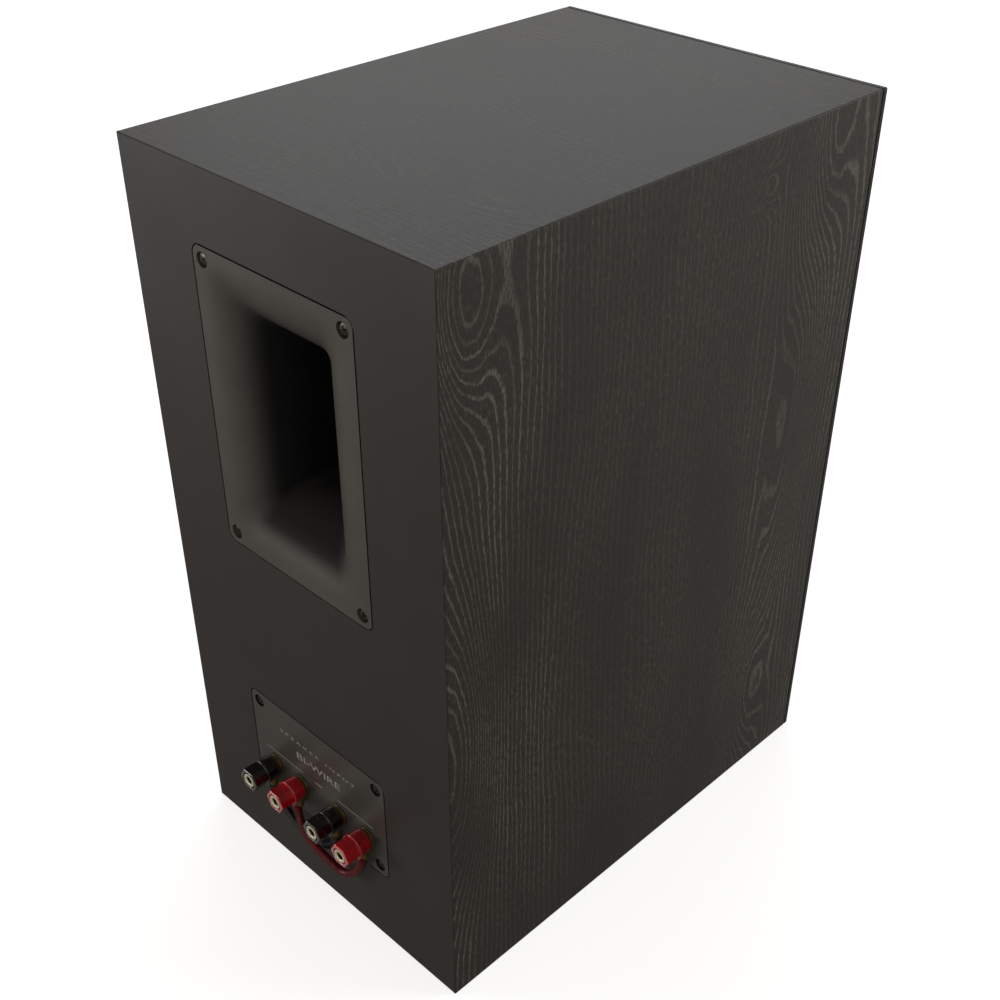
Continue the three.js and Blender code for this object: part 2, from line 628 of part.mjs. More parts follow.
function dustCap() {
  const rim = coneAt(capRadius) - WOOFER.coneThickness - FIT_GAP;
  return turned(shallowCap(capRadius, WOOFER.capHeight, rim, WOOFER.coneThickness));
}

function voiceCoil() {
  const wire = WOOFER.coilRadius + WOOFER.windingThickness;
  const bore = WOOFER.coilRadius - WOOFER.formerThickness;
  const windingFrom = WOOFER.coilEnd - WOOFER.windingLength;
  const formerFrom = coneNeck - WOOFER.formerLap;
  return turned([
    [bore, formerFrom], [WOOFER.coilRadius, formerFrom], [WOOFER.coilRadius, windingFrom],
    [wire, windingFrom], [wire, WOOFER.coilEnd], [bore, WOOFER.coilEnd],
  ]);
}

function yoke() {
  const pole = WOOFER.coilRadius - WOOFER.formerThickness - WOOFER.poleGap;
  const poleFront = topPlateFront - WOOFER.poleProud;
  return turned([
    [WOOFER.ventRadius, poleFront], [pole, poleFront], [pole, yokeFront],
    [WOOFER.yokeRadius, yokeFront], [WOOFER.yokeRadius, yokeFront + WOOFER.yokeThickness],
    [WOOFER.ventRadius, yokeFront + WOOFER.yokeThickness],
  ]);
}

function trimRing() {
  const proud = -WOOFER.trimProud;
  return turned([
    [trimInner, FASCIA.thickness], [trimInner + WOOFER.trimSlope, proud],
    [trimRadius - WOOFER.trimRound, proud], [trimRadius, 0],
    [trimRadius, FASCIA.thickness],
  ]);
}

const spiderBack = WOOFER.spiderShelf - FIT_GAP;
place(woofer, 'woofer_basket', basket(), FINISH.castMetal());
place(woofer, 'woofer_surround', surround(), FINISH.rubber());
place(woofer, 'woofer_cone', cone(), FINISH.cone());
place(woofer, 'woofer_dust_cap', dustCap(), FINISH.cone());
place(woofer, 'woofer_voice_coil', voiceCoil(), FINISH.copper());
place(woofer, 'woofer_spider', ring(neckRadius, WOOFER.spiderRadius,
  spiderBack - WOOFER.spiderThickness, spiderBack), FINISH.cloth());
place(woofer, 'woofer_top_plate', ring(
  WOOFER.coilRadius + WOOFER.windingThickness + WOOFER.plateGap, WOOFER.topPlateRadius,
  topPlateFront, topPlateFront + WOOFER.topPlateThickness,
), FINISH.steel());
place(woofer, 'woofer_magnet', ring(WOOFER.magnetInner, WOOFER.magnetRadius, magnetFront,
  magnetFront + WOOFER.magnetThickness), FINISH.ferrite());
place(woofer, 'woofer_yoke', yoke(), FINISH.steel());
place(woofer, 'woofer_trim_ring', trimRing(), FINISH.fascia());

// ---------------------------------------------------------------- tweeter

const tweeter = groupAt(0, frontFace, tweeterZ);
const surroundFront = TWEETER.plateBack + FIT_GAP;
const tweeterPlateFront = surroundFront + TWEETER.surroundThickness + FIT_GAP;
const tweeterMagnetFront = tweeterPlateFront + TWEETER.topPlateThickness + FIT_GAP;
const tweeterYokeFront = tweeterMagnetFront + TWEETER.magnetThickness + FIT_GAP;
const tweeterCoilBore = TWEETER.domeRadius - TWEETER.coilThickness;

function waveguide() {
  const steps = 4;
  const drop = TWEETER.mouthRadius - TWEETER.throatRadius;
  const bell = Array.from({ length: steps + 1 }, (_, i) => {
    const along = i / steps;
    const depth = TWEETER.throatDepth * along ** TWEETER.bellPower;
    return [TWEETER.mouthRadius - drop * along, depth];
  });
  return turned([
    [TWEETER.plateRadius, TWEETER.plateEdge],
    [TWEETER.plateRadius - TWEETER.plateEdge, 0], ...bell,
    [TWEETER.throatRadius, TWEETER.plateBack], [TWEETER.bossRadius, TWEETER.plateBack],
    [TWEETER.bossRadius, TWEETER.plateBack - TWEETER.bossRise],
    [TWEETER.bowlRadius, TWEETER.bowlBack],
    [TWEETER.bowlRadius, FASCIA.thickness], [TWEETER.plateRadius, FASCIA.thickness],
  ]);
}

function tweeterSurround() {
  const rollOuter = TWEETER.domeRadius + FIT_GAP + 2 * TWEETER.rollRadius;
  const centre = TWEETER.domeRadius + FIT_GAP + TWEETER.rollRadius;
  const back = surroundFront + TWEETER.surroundThickness;
  const inside = TWEETER.rollRadius - TWEETER.surroundThickness;
  return turned([
    [TWEETER.surroundOuter, back], [TWEETER.surroundOuter, surroundFront],
    [rollOuter, surroundFront],
    ...arc(centre, surroundFront, TWEETER.rollRadius, 0, -Math.PI, 3).slice(1),
    ...arc(centre, surroundFront, inside, -Math.PI, 0, 3),
    [centre + inside, back],
  ], MEDIUM_SIDES);
}

const tweeterDome = () => turned(shallowCap(TWEETER.domeRadius, TWEETER.domeHeight,
  surroundFront - TWEETER.surroundThickness, TWEETER.domeThickness), MEDIUM_SIDES);

const tweeterYoke = () => turned([
  [0, tweeterPlateFront], [tweeterCoilBore - TWEETER.poleGap, tweeterPlateFront],
  [tweeterCoilBore - TWEETER.poleGap, tweeterYokeFront], [TWEETER.topPlateRadius, tweeterYokeFront],
  [TWEETER.topPlateRadius, tweeterYokeFront + TWEETER.yokeThickness],
  [0, tweeterYokeFront + TWEETER.yokeThickness],
]);

place(tweeter, 'tweeter_waveguide', waveguide(), FINISH.fascia());
place(tweeter, 'tweeter_surround', tweeterSurround(), FINISH.rubber());
place(tweeter, 'tweeter_dome', tweeterDome(), FINISH.cone());
place(tweeter, 'tweeter_voice_coil', ring(tweeterCoilBore, TWEETER.domeRadius, surroundFront,
  surroundFront + TWEETER.coilLength), FINISH.copper());
place(tweeter, 'tweeter_top_plate', ring(TWEETER.domeRadius + TWEETER.poleGap,
  TWEETER.topPlateRadius, tweeterPlateFront, tweeterPlateFront + TWEETER.topPlateThickness),
FINISH.steel());
place(tweeter, 'tweeter_magnet', ring(TWEETER.magnetInner, TWEETER.magnetRadius, tweeterMagnetFront,
  tweeterMagnetFront + TWEETER.magnetThickness), FINISH.ferrite());
place(tweeter, 'tweeter_yoke', tweeterYoke(), FINISH.steel());

// ---------------------------------------------------------------- crossover and leads

const boardBottom = CABINET.wall + FIT_GAP;
const boardTop = boardBottom + BOARD.thickness + FIT_GAP;
const frontEdge = BOARD.centreY - BOARD.depth / 2;

const coil = ({ inner, outer, height, x, y }) => ring(inner, outer, 0, height, MEDIUM_SIDES)
  .rotateX(Math.PI / 2).translate(x, BOARD.centreY + y, boardTop);
const capacitor = ({ radius, length, x, y }) => rod(radius, -length / 2, length / 2, SMALL_SIDES)
  .rotateZ(Math.PI / 2).translate(x, BOARD.centreY + y, boardTop + radius);

place(speaker, 'crossover_board', box(-BOARD.width / 2, BOARD.width / 2, frontEdge,
  frontEdge + BOARD.depth, boardBottom, boardBottom + BOARD.thickness), FINISH.board());
place(speaker, 'crossover_woofer_coil', coil(WOOFER_COIL), FINISH.copper());
place(speaker, 'crossover_tweeter_coil', coil(TWEETER_COIL), FINISH.copper());
place(speaker, 'crossover_capacitor_1', capacitor(CAPACITOR_1), FINISH.capacitor());
place(speaker, 'crossover_capacitor_2', capacitor(CAPACITOR_2), FINISH.capacitor());

// Twin leads run from the board over the floor and up to each driver. Points are [x, y, z].
const WOOFER_LEAD_ROUTE = [
  [40, 18, 19.4], [40, 8, 19], [40.5, -4, 17.3], [41, -30, 17], [42, -66, 17], [42.5, -86, 20],
  [42, -96, 32], [40, -100, 48], [36.6, -101, 61], [32.8, -101.3, 69.2],
];
const TWEETER_LEAD_ROUTE = [
  [-45, 18, 19.4], [-54, 13, 19], [-68, 5, 17.4], [-77.5, 1, 20], [-82, -3, 30], [-83, -10, 70],
  [-83, -20, 130], [-83, -34, 190], [-81.5, -52, 240], [-73, -76, 275], [-56, -97, 290],
  [-43, -111, 295], [-33.8, -117, 296],
];
place(speaker, 'woofer_lead', hose(WOOFER_LEAD_ROUTE, LEAD), FINISH.blackCable());
place(speaker, 'tweeter_lead', hose(TWEETER_LEAD_ROUTE, LEAD), FINISH.blackCable());

export default speaker;
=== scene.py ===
# %% [markdown]
# Bookshelf speaker, seen from behind: a vinyl-wrapped cabinet with a flared port, a terminal plate with
# four binding posts, and behind its front panel a woofer, a tweeter and a crossover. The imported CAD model
# is the frame: it says where each piece is and how it moves, and this script gives the pieces their
# finished shapes and surfaces. Everything is in metres.

import random
from math import acos, cos, hypot, pi, radians, sin, sqrt

import bmesh
import bpy
from mathutils import Matrix, Vector
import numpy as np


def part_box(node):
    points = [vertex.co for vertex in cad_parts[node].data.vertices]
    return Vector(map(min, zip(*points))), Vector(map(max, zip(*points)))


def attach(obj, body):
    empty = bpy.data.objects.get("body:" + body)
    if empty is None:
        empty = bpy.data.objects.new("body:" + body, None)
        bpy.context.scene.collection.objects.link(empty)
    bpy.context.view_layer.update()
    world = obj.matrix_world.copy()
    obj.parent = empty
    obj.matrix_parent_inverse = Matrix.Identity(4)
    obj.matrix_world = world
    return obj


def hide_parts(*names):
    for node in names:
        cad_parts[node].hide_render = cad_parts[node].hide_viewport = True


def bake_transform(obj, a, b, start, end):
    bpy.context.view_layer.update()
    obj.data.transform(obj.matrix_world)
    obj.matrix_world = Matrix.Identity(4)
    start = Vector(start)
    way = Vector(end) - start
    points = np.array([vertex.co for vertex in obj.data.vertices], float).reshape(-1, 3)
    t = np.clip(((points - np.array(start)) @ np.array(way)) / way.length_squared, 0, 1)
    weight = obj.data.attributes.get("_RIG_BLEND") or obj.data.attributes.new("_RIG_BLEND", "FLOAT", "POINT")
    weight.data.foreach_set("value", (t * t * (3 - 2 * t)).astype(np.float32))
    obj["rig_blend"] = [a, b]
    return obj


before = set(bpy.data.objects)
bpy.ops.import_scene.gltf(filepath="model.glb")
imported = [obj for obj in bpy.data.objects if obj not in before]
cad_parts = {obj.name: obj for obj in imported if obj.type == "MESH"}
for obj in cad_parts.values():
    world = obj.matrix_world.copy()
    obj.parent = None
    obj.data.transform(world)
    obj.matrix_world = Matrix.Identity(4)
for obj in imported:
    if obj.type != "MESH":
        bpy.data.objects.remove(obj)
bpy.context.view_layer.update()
MM = 0.001

# %% [markdown]
# The frame gives each node's box at rest. Almost every piece here is turned about an axis that runs from
# the front of the speaker to its back, so a centre, a radius and the two ends along Y describe it.

# %% Read places from the frame
def low(node, axis):
    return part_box(node)[0]["xyz".index(axis)]


def high(node, axis):
    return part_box(node)[1]["xyz".index(axis)]


def centre(node, axis):
    return (low(node, axis) + high(node, axis)) / 2


def radius_of(node):
    return (high(node, "x") - low(node, "x")) / 2


REAR = high("back_panel", "y")
HALF_WIDTH = high("left_side_panel", "x")
HEIGHT = high("top_panel", "z")
CABINET_FRONT = low("left_side_panel", "y")
WALL = HALF_WIDTH - low("left_side_panel", "x")
print("cabinet", 2 * HALF_WIDTH, REAR - CABINET_FRONT, HEIGHT, "wall", WALL)

# %% [markdown]
# Two ways of making a mesh cover most of this object. A skin is laid over a row of rings that all have the
# same number of points. A turned piece is a skin whose rings are circles. After both of them the normals
# are made to point outwards, and only edges that are really sharp stay sharp in the shading.

# %% Skins and turned pieces
CREASE = radians(32)  # edges sharper than this stay sharp and get rounded


def mesh_piece(name, points, faces):
    mesh = bpy.data.meshes.new(name)
    mesh.from_pydata([tuple(p) for p in points], [], faces)
    piece = bpy.data.objects.new(name, mesh)
    bpy.context.scene.collection.objects.link(piece)
    return clean(piece)


def clean(piece):
    work = bmesh.new()
    work.from_mesh(piece.data)
    bmesh.ops.remove_doubles(work, verts=work.verts, dist=1e-6)
    bmesh.ops.dissolve_degenerate(work, edges=work.edges, dist=1e-7)
    bmesh.ops.recalc_face_normals(work, faces=work.faces)
    for face in work.faces:
        face.smooth = True
    for edge in work.edges:
        edge.smooth = edge.calc_face_angle(0) < CREASE
    work.to_mesh(piece.data)
    work.free()
    return piece


def skin(name, rings, closed=False):
    """Faces between neighbouring rings; both ends are capped unless the last ring meets the first."""
    count = len(rings[0])
    faces = []
    for i in range(len(rings) - (0 if closed else 1)):
        a, b = i * count, (i + 1) % len(rings) * count
        for j in range(count):
            k = (j + 1) % count
            faces.append((a + j, a + k, b + k, b + j))
    if not closed:
        end = (len(rings) - 1) * count
        faces += [tuple(range(count)), tuple(range(end, end + count))]
    return mesh_piece(name, [p for ring in rings for p in ring], faces)


def turned(name, profile, x=0, z=0, steps=96, closed=None):
    """Turns [radius, y] points about the line through (x, z) along Y."""
    if closed is None:
        closed = profile[0][0] > 0 and profile[-1][0] > 0
    angles = [2 * pi * i / steps for i in range(steps)]
    rings = [[(x + r * cos(a), y, z + r * sin(a)) for a in angles] for r, y in profile]
    return skin(name, rings, closed)


print("edges sharper than", CREASE, "radians stay sharp")

# %% [markdown]
# Flanges, plates and openings are rounded rectangles. A ring with such an outline can be stacked like any
# other ring, and a rounded edge is a few rings that step inwards as they near the face.

# %% Rounded rectangles
def outline(half_width, half_height, corner, y, x=0, z=0, steps=10):
    """A rounded rectangle that stands in the XZ plane."""
    points = []
    for quarter, (side, up) in enumerate(((1, 1), (-1, 1), (-1, -1), (1, -1))):
        for i in range(steps + 1):
            angle = (quarter + i / steps) * pi / 2
            points.append((x + side * (half_width - corner) + corner * cos(angle), y,
                           z + up * (half_height - corner) + corner * sin(angle)))
    return points


def rounding(radius, steps=4):
    """[inset, drop] pairs from a side to a face, over a rounded edge."""
    turns = [i / steps * pi / 2 for i in range(steps + 1)]
    return [(radius * (1 - cos(t)), radius * (1 - sin(t))) for t in turns]


def slab(name, half_width, half_height, corner, back, front, x=0, z=0, edge=0.3 * MM):
    """A plate in the XZ plane whose front edge, at the higher y, is rounded."""
    rings = [outline(half_width, half_height, corner, back, x, z)]
    rings += [outline(half_width - inset, half_height - inset, corner - inset, front - drop, x, z)
              for inset, drop in rounding(edge)]
    return skin(name, rings)


print("points in an outline", len(outline(2 * MM, 2 * MM, MM, 0)))

# %% [markdown]
# Pockets and holes are cut the way a router or a drill cuts them: one closed mesh is taken away from
# another with a Boolean modifier, which is then baked. The edges are rounded last, so that a cut's new
# edges are rounded as well.

# %% Cuts and rounded edges
BEVEL_STEPS = 2


def bake(piece):
    """Turns a piece's modifiers into its mesh."""
    graph = bpy.context.evaluated_depsgraph_get()
    old = piece.data
    piece.data = bpy.data.meshes.new_from_object(piece.evaluated_get(graph))
    piece.data.name = piece.name
    piece.modifiers.clear()
    bpy.data.meshes.remove(old)
    return piece


def combine(piece, operation, tools):
    for tool in tools:
        step = piece.modifiers.new("boolean", "BOOLEAN")
        step.operation, step.solver, step.object = operation, "EXACT", tool
    bpy.context.view_layer.update()
    bake(piece)
    for tool in tools:
        bpy.data.objects.remove(tool)
    return clean(piece)


def cut(piece, *tools):
    return combine(piece, "DIFFERENCE", tools)


def join(piece, *tools):
    return combine(piece, "UNION", tools)


def round_edges(piece, width):
    bevel = piece.modifiers.new("round edges", "BEVEL")
    bevel.width, bevel.segments = width, BEVEL_STEPS
    bevel.limit_method, bevel.angle_limit = "ANGLE", CREASE
    bevel.use_clamp_overlap = True
    flat = piece.modifiers.new("flat faces", "WEIGHTED_NORMAL")
    flat.keep_sharp = True
    return piece


print("rounded edges have", BEVEL_STEPS, "steps")

# %% [markdown]
# Materials are networks of nodes. These short functions add one node each and return its output, so that
# a network reads like a formula.

# %% Node helpers
def add(tree, kind, inputs=(), **settings):
    """One node; inputs are (socket name or number, value or link) pairs."""
    made = tree.nodes.new(kind)
    for key, value in settings.items():
        setattr(made, key, value)
    for key, value in inputs:
        if isinstance(value, bpy.types.NodeSocket):
            tree.links.new(value, made.inputs[key])
        else:
            made.inputs[key].default_value = value
    return made


def calc(tree, operation, *values):
    return add(tree, "ShaderNodeMath", enumerate(values), operation=operation).outputs[0]


def ramp(tree, value, start, end, to_start=0.0, to_end=1.0, kind="SMOOTHSTEP"):
    """value from start..end to to_start..to_end, held outside."""
    pairs = [("Value", value), ("From Min", start), ("From Max", end),
             ("To Min", to_start), ("To Max", to_end)]
    return add(tree, "ShaderNodeMapRange", pairs, interpolation_type=kind).outputs[0]


def noise(tree, vector, scale, detail=2.0, roughness=0.5):
    pairs = [("Vector", vector), ("Scale", scale), ("Detail", detail), ("Roughness", roughness)]
    return add(tree, "ShaderNodeTexNoise", pairs).outputs["Fac"]


def vector_of(tree, x, y, z):
    return add(tree, "ShaderNodeCombineXYZ", [(0, x), (1, y), (2, z)]).outputs[0]


def blend_colours(tree, factor, first, second):
    made = add(tree, "ShaderNodeMix", data_type="RGBA")
    for socket, value in zip((made.inputs[0], made.inputs[6], made.inputs[7]), (factor, first, second)):
        if isinstance(value, bpy.types.NodeSocket):
            tree.links.new(value, socket)
        else:
            socket.default_value = value
    return made.outputs[2]


def paint(red, green, blue):
    """A screen colour, 0 to 255, as the linear colour that nodes use."""
    linear = [((c / 255 + 0.055) / 1.055) ** 2.4 if c > 10 else c / 255 / 12.92
              for c in (red, green, blue)]
    return (*linear, 1.0)


def new_group(name, inputs, outputs):
    """An empty shader node group with named float or vector sockets."""
    tree = bpy.data.node_groups.new(name, "ShaderNodeTree")
    for socket, kind, default in inputs:
        made = tree.interface.new_socket(socket, in_out="INPUT", socket_type=kind)
        if default is not None:
            made.default_value = default
    for socket in outputs:
        tree.interface.new_socket(socket, in_out="OUTPUT", socket_type="NodeSocketFloat")
    return tree, tree.nodes.new("NodeGroupInput").outputs, tree.nodes.new("NodeGroupOutput")


def place(tree, group, **values):
    """A group in a material; Dark_edge=1 sets the socket named 'Dark edge'."""
    made = tree.nodes.new("ShaderNodeGroup")
    made.node_tree = group
    for key, value in values.items():
        socket = made.inputs[key.replace("_", " ")]
        if isinstance(value, bpy.types.NodeSocket):
            tree.links.new(value, socket)
        else:
            socket.default_value = value
    return made.outputs


FLOAT, VECTOR = "NodeSocketFloat", "NodeSocketVector"
print("white as a linear colour", paint(255, 255, 255))

# %% [markdown]
# Paint, moulded plastic, rubber and cast metal all have the same two things at different sizes: a fine
# texture that scatters light, and slow patches where the surface is a little shinier or paler. One group
# gives both, from position, so nothing needs unwrapping.

# %% Group: surface texture
surface, given, result = new_group(
    "surface texture",
    [("Position", VECTOR, None), ("Grain size", FLOAT, 0.0004), ("Patch size", FLOAT, 0.03)],
    ["Grain", "Patches"])
fine = calc(surface, "DIVIDE", 1.0, given["Grain size"])
coarse = calc(surface, "DIVIDE", 1.0, given["Patch size"])
grit = noise(surface, given["Position"], fine, 3.0, 0.6)
surface.links.new(ramp(surface, grit, 0.3, 0.7), result.inputs["Grain"])
surface.links.new(ramp(surface, noise(surface, given["Position"], coarse, 3.0, 0.55), 0.3, 0.7),
                  result.inputs["Patches"])
print("group", surface.name, "with", len(surface.nodes), "nodes")

# %% [markdown]
# Dust settles on what faces up. The mask is the upward part of the normal, broken by specks.

# %% Group: dust
dust_group, given, result = new_group(
    "dust", [("Position", VECTOR, None), ("Speck size", FLOAT, 0.0011)], ["Mask"])
normal_up = add(dust_group, "ShaderNodeSeparateXYZ",
                [(0, add(dust_group, "ShaderNodeNewGeometry").outputs["Normal"])]).outputs[2]
specks = noise(dust_group, given["Position"], calc(dust_group, "DIVIDE", 1.0, given["Speck size"]), 4.0, 0.7)
settled = calc(dust_group, "MULTIPLY", ramp(dust_group, normal_up, 0.2, 1.0, 0.25, 1.0),
               ramp(dust_group, specks, 0.66, 0.82))
dust_group.links.new(settled, result.inputs["Mask"])
print("group", dust_group.name, "with", len(dust_group.nodes), "nodes")

# %% [markdown]
# A lathe leaves fine rings round its axis. Every turned piece here has its axis along Y, so the distance
# from that axis, with the depth mixed in, gives a pattern that runs round the piece.

# %% Group: turning marks
turning, given, result = new_group(
    "turning marks",
    [("Position", VECTOR, None), ("Axis x", FLOAT, 0.0), ("Axis z", FLOAT, 0.0),
     ("Pitch", FLOAT, 0.0004)],
    ["Marks"])
part = add(turning, "ShaderNodeSeparateXYZ", [(0, given["Position"])]).outputs
away_x = calc(turning, "SUBTRACT", part[0], given["Axis x"])
away_z = calc(turning, "SUBTRACT", part[2], given["Axis z"])
squares = calc(turning, "ADD", calc(turning, "MULTIPLY", away_x, away_x),
               calc(turning, "MULTIPLY", away_z, away_z))
rings_at = calc(turning, "DIVIDE", calc(turning, "SQRT", squares), given["Pitch"])
depth_at = calc(turning, "DIVIDE", part[1], given["Pitch"])
line_field = noise(turning, vector_of(turning, rings_at, depth_at, 0.0), 0.9, 2.0, 0.6)
turning.links.new(ramp(turning, line_field, 0.35, 0.65), result.inputs["Marks"])
print("group", turning.name, "with", len(turning.nodes), "nodes")

# %% [markdown]
# A finish puts the groups together: two close colours mixed by the patches, a roughness that varies a
# little, a bump from the grain and, on turned pieces, from the turning marks, and a touch of dust. Values
# that are the same all over go straight onto the shader's own sockets.

# %% The common finish
DUST = paint(150, 146, 138)


def start_material(name):
    material = bpy.data.materials.new(name)
    material.use_nodes = True
    tree = material.node_tree
    shader = tree.nodes["Principled BSDF"]
    position = tree.nodes.new("ShaderNodeTexCoord").outputs["Object"]
    return material, tree, shader, position


def set_bump(tree, shader, height, distance):
    bump = add(tree, "ShaderNodeBump", [("Height", height), ("Distance", distance), ("Strength", 1.0)])
    tree.links.new(bump.outputs["Normal"], shader.inputs["Normal"])


def finish(name, pale, deep, roughness, metallic=0.0, spread=0.08, grain=0.4 * MM, depth=0.02 * MM,
           patch=30 * MM, coat=0.0, specular=0.5, dust=0.25, marks=0.0, axis=(0.0, 0.0), pitch=0.4 * MM):
    material, tree, shader, position = start_material(name)
    texture = place(tree, surface, Position=position, Grain_size=grain, Patch_size=patch)
    height, shine = texture["Grain"], texture["Patches"]
    if marks:
        lines = place(tree, turning, Position=position, Axis_x=axis[0], Axis_z=axis[1],
                      Pitch=pitch)["Marks"]
        height = calc(tree, "MULTIPLY_ADD", lines, marks, height)
        shine = calc(tree, "MULTIPLY_ADD", calc(tree, "SUBTRACT", lines, 0.5), 0.6, shine)
    colour = blend_colours(tree, texture["Patches"], pale, deep)
    colour = blend_colours(tree, calc(tree, "MULTIPLY", texture["Grain"], 0.35), colour, deep)
    if dust:
        specks = place(tree, dust_group, Position=position)["Mask"]
        colour = blend_colours(tree, calc(tree, "MULTIPLY", specks, dust), colour, DUST)
    tree.links.new(colour, shader.inputs["Base Color"])
    tree.links.new(ramp(tree, shine, 0.0, 1.0, roughness - spread, roughness + spread, "LINEAR"),
                   shader.inputs["Roughness"])
    shader.inputs["Metallic"].default_value = metallic
    shader.inputs["Coat Weight"].default_value = coat
    shader.inputs["Coat Roughness"].default_value = 0.08
    shader.inputs["Specular IOR Level"].default_value = specular
    set_bump(tree, shader, height, depth)
    return material


print("dust colour", DUST)

# %% [markdown]
# Gaps, counterbores and the inside of a port look much darker than the faces round them, because little
# light reaches them. That shade is painted: a mask by position says where, along one axis or by the distance
# from a middle, and the helper below takes a finished material to another, darker colour and roughness
# under the mask. The masks stay with the piece, since they are made from its own position.

# %% Painted shade away from the face
def mask_of(tree, position, axis, start, end, centre_at=None):
    """0 to 1 along an axis, or by the distance from a middle."""
    value = add(tree, "ShaderNodeSeparateXYZ", [(0, position)]).outputs["xyz".index(axis)]
    if centre_at is not None:
        value = calc(tree, "ABSOLUTE", calc(tree, "SUBTRACT", value, centre_at))
    ends = (0.0, 1.0) if start < end else (1.0, 0.0)
    return ramp(tree, value, min(start, end), max(start, end), *ends)


def paint_shade(material, colour, make_mask, roughness=0.85):
    """Paints shade: takes a finish to another colour and roughness where the mask is 1."""
    tree = material.node_tree
    shader = tree.nodes["Principled BSDF"]
    position = add(tree, "ShaderNodeTexCoord").outputs["Object"]
    mask = make_mask(tree, position)
    before = shader.inputs["Base Color"].links[0].from_socket
    tree.links.new(blend_colours(tree, mask, before, colour), shader.inputs["Base Color"])
    shine = shader.inputs["Roughness"].links[0].from_socket
    rougher = calc(tree, "MULTIPLY_ADD", calc(tree, "SUBTRACT", roughness, shine), mask, shine)
    tree.links.new(rougher, shader.inputs["Roughness"])


# the colour of the painted shade in gaps, counterbores and deep walls
SHADE_BLACK = paint(3, 3, 3)
print("gaps sink to", SHADE_BLACK)

# %% [markdown]
# The cabinet is wrapped in a printed film with an oak figure: near-black brown, with paler growth lines
# made of short streaks. A growth line is where a slowly bent ring count passes a whole number. Far from
# knots the count only climbs across the board, so the lines are straight; each knot adds its own hill of
# rings, and the lines close round it or arch over it.

# %% Groups: knot and oak figure
knot, given, result = new_group(
    "knot",
    [("Across", FLOAT, 0.0), ("Along", FLOAT, 0.0), ("Centre across", FLOAT, 0.0),
     ("Centre along", FLOAT, 0.0), ("Half width", FLOAT, 0.02), ("Half length", FLOAT, 0.05),
     ("Rings", FLOAT, 3.0)],
    ["Count"])
side_step = calc(knot, "DIVIDE", calc(knot, "SUBTRACT", given["Across"], given["Centre across"]),
                 given["Half width"])
long_step = calc(knot, "DIVIDE", calc(knot, "SUBTRACT", given["Along"], given["Centre along"]),
                 given["Half length"])
away = calc(knot, "SQRT", calc(knot, "ADD", calc(knot, "MULTIPLY", side_step, side_step),
                               calc(knot, "MULTIPLY", long_step, long_step)))
hill = calc(knot, "EXPONENT", calc(knot, "MULTIPLY", calc(knot, "POWER", away, 2.2), -1.0))
knot.links.new(calc(knot, "MULTIPLY", hill, given["Rings"]), result.inputs["Count"])

oak, given, result = new_group(
    "oak figure",
    [("Across", FLOAT, 0.0), ("Along", FLOAT, 0.0), ("Spacing", FLOAT, 0.0065),
     ("Knots", FLOAT, 0.0), ("Seed", FLOAT, 0.0), ("Line width", FLOAT, 0.2)],
    ["Lines", "Pores", "Tone"])


def oak_noise(across, along, detail, roughness):
    """Noise stretched along the board: how many waves to the metre each way."""
    vector = vector_of(oak, calc(oak, "MULTIPLY", given["Across"], across),
                       calc(oak, "MULTIPLY", given["Along"], along), given["Seed"])
    return noise(oak, vector, 1.0, detail, roughness)


bend = oak_noise(11.0, 3.2, 2.0, 0.45)
shake = oak_noise(170.0, 34.0, 3.0, 0.6)
count = calc(oak, "DIVIDE", given["Across"], given["Spacing"])
count = calc(oak, "MULTIPLY_ADD", bend, 8.5, count)
count = calc(oak, "MULTIPLY_ADD", shake, 0.9, count)
count = calc(oak, "ADD", count, given["Knots"])
ring_number = calc(oak, "FLOOR", count)
within = calc(oak, "FRACT", count)
ring_chance = add(oak, "ShaderNodeTexWhiteNoise", [("W", calc(oak, "ADD", ring_number, given["Seed"]))],
                  noise_dimensions="1D").outputs["Value"]
ring_strength = calc(oak, "MULTIPLY_ADD", ring_chance, 0.6, 0.4)
# a line starts sharply and fades out behind, as the large early pores do
fade_from = calc(oak, "MULTIPLY", given["Line width"], 0.55)
edge = calc(oak, "MULTIPLY", ramp(oak, within, 0.0, 0.06),
            ramp(oak, within, fade_from, given["Line width"], 1.0, 0.0))
streaks = oak_noise(1700.0, 300.0, 2.0, 0.6)
fibre = oak_noise(1500.0, 230.0, 2.0, 0.6)
patchy = oak_noise(24.0, 9.0, 2.0, 0.5)
drawn = calc(oak, "MULTIPLY", edge, ramp(oak, ring_strength, 0.1, 0.8, 0.25, 1.0))
drawn = calc(oak, "MULTIPLY", drawn, ramp(oak, streaks, 0.38, 0.58, 0.12, 1.0))
drawn = calc(oak, "MULTIPLY", drawn, ramp(oak, patchy, 0.3, 0.6, 0.3, 1.0))
oak.links.new(drawn, result.inputs["Lines"])
open_pores = calc(oak, "MULTIPLY", ramp(oak, fibre, 0.5, 0.72), ramp(oak, patchy, 0.3, 0.7, 0.4, 1.0))
oak.links.new(open_pores, result.inputs["Pores"])
oak.links.new(patchy, result.inputs["Tone"])
print("groups", knot.name, len(knot.nodes), "nodes and", oak.name, len(oak.nodes), "nodes")

# %% [markdown]
# Each wrapped board has its own stretch of film. `across` and `along` are the board's own directions, and
# a knot is given by its centre, half width, half length and number of rings, in metres from the corner
# where the two directions start.

# %% The wrapped finish
FILM_DARK, FILM_BROWN, FILM_LINE = paint(45, 41, 36), paint(54, 50, 44), paint(122, 116, 107)
LINE_WIDTH = 0.36  # as a share of the spacing
CALM_MIDDLE, CALM_FROM, CALM_TO = 0.14, 0.05, 0.09


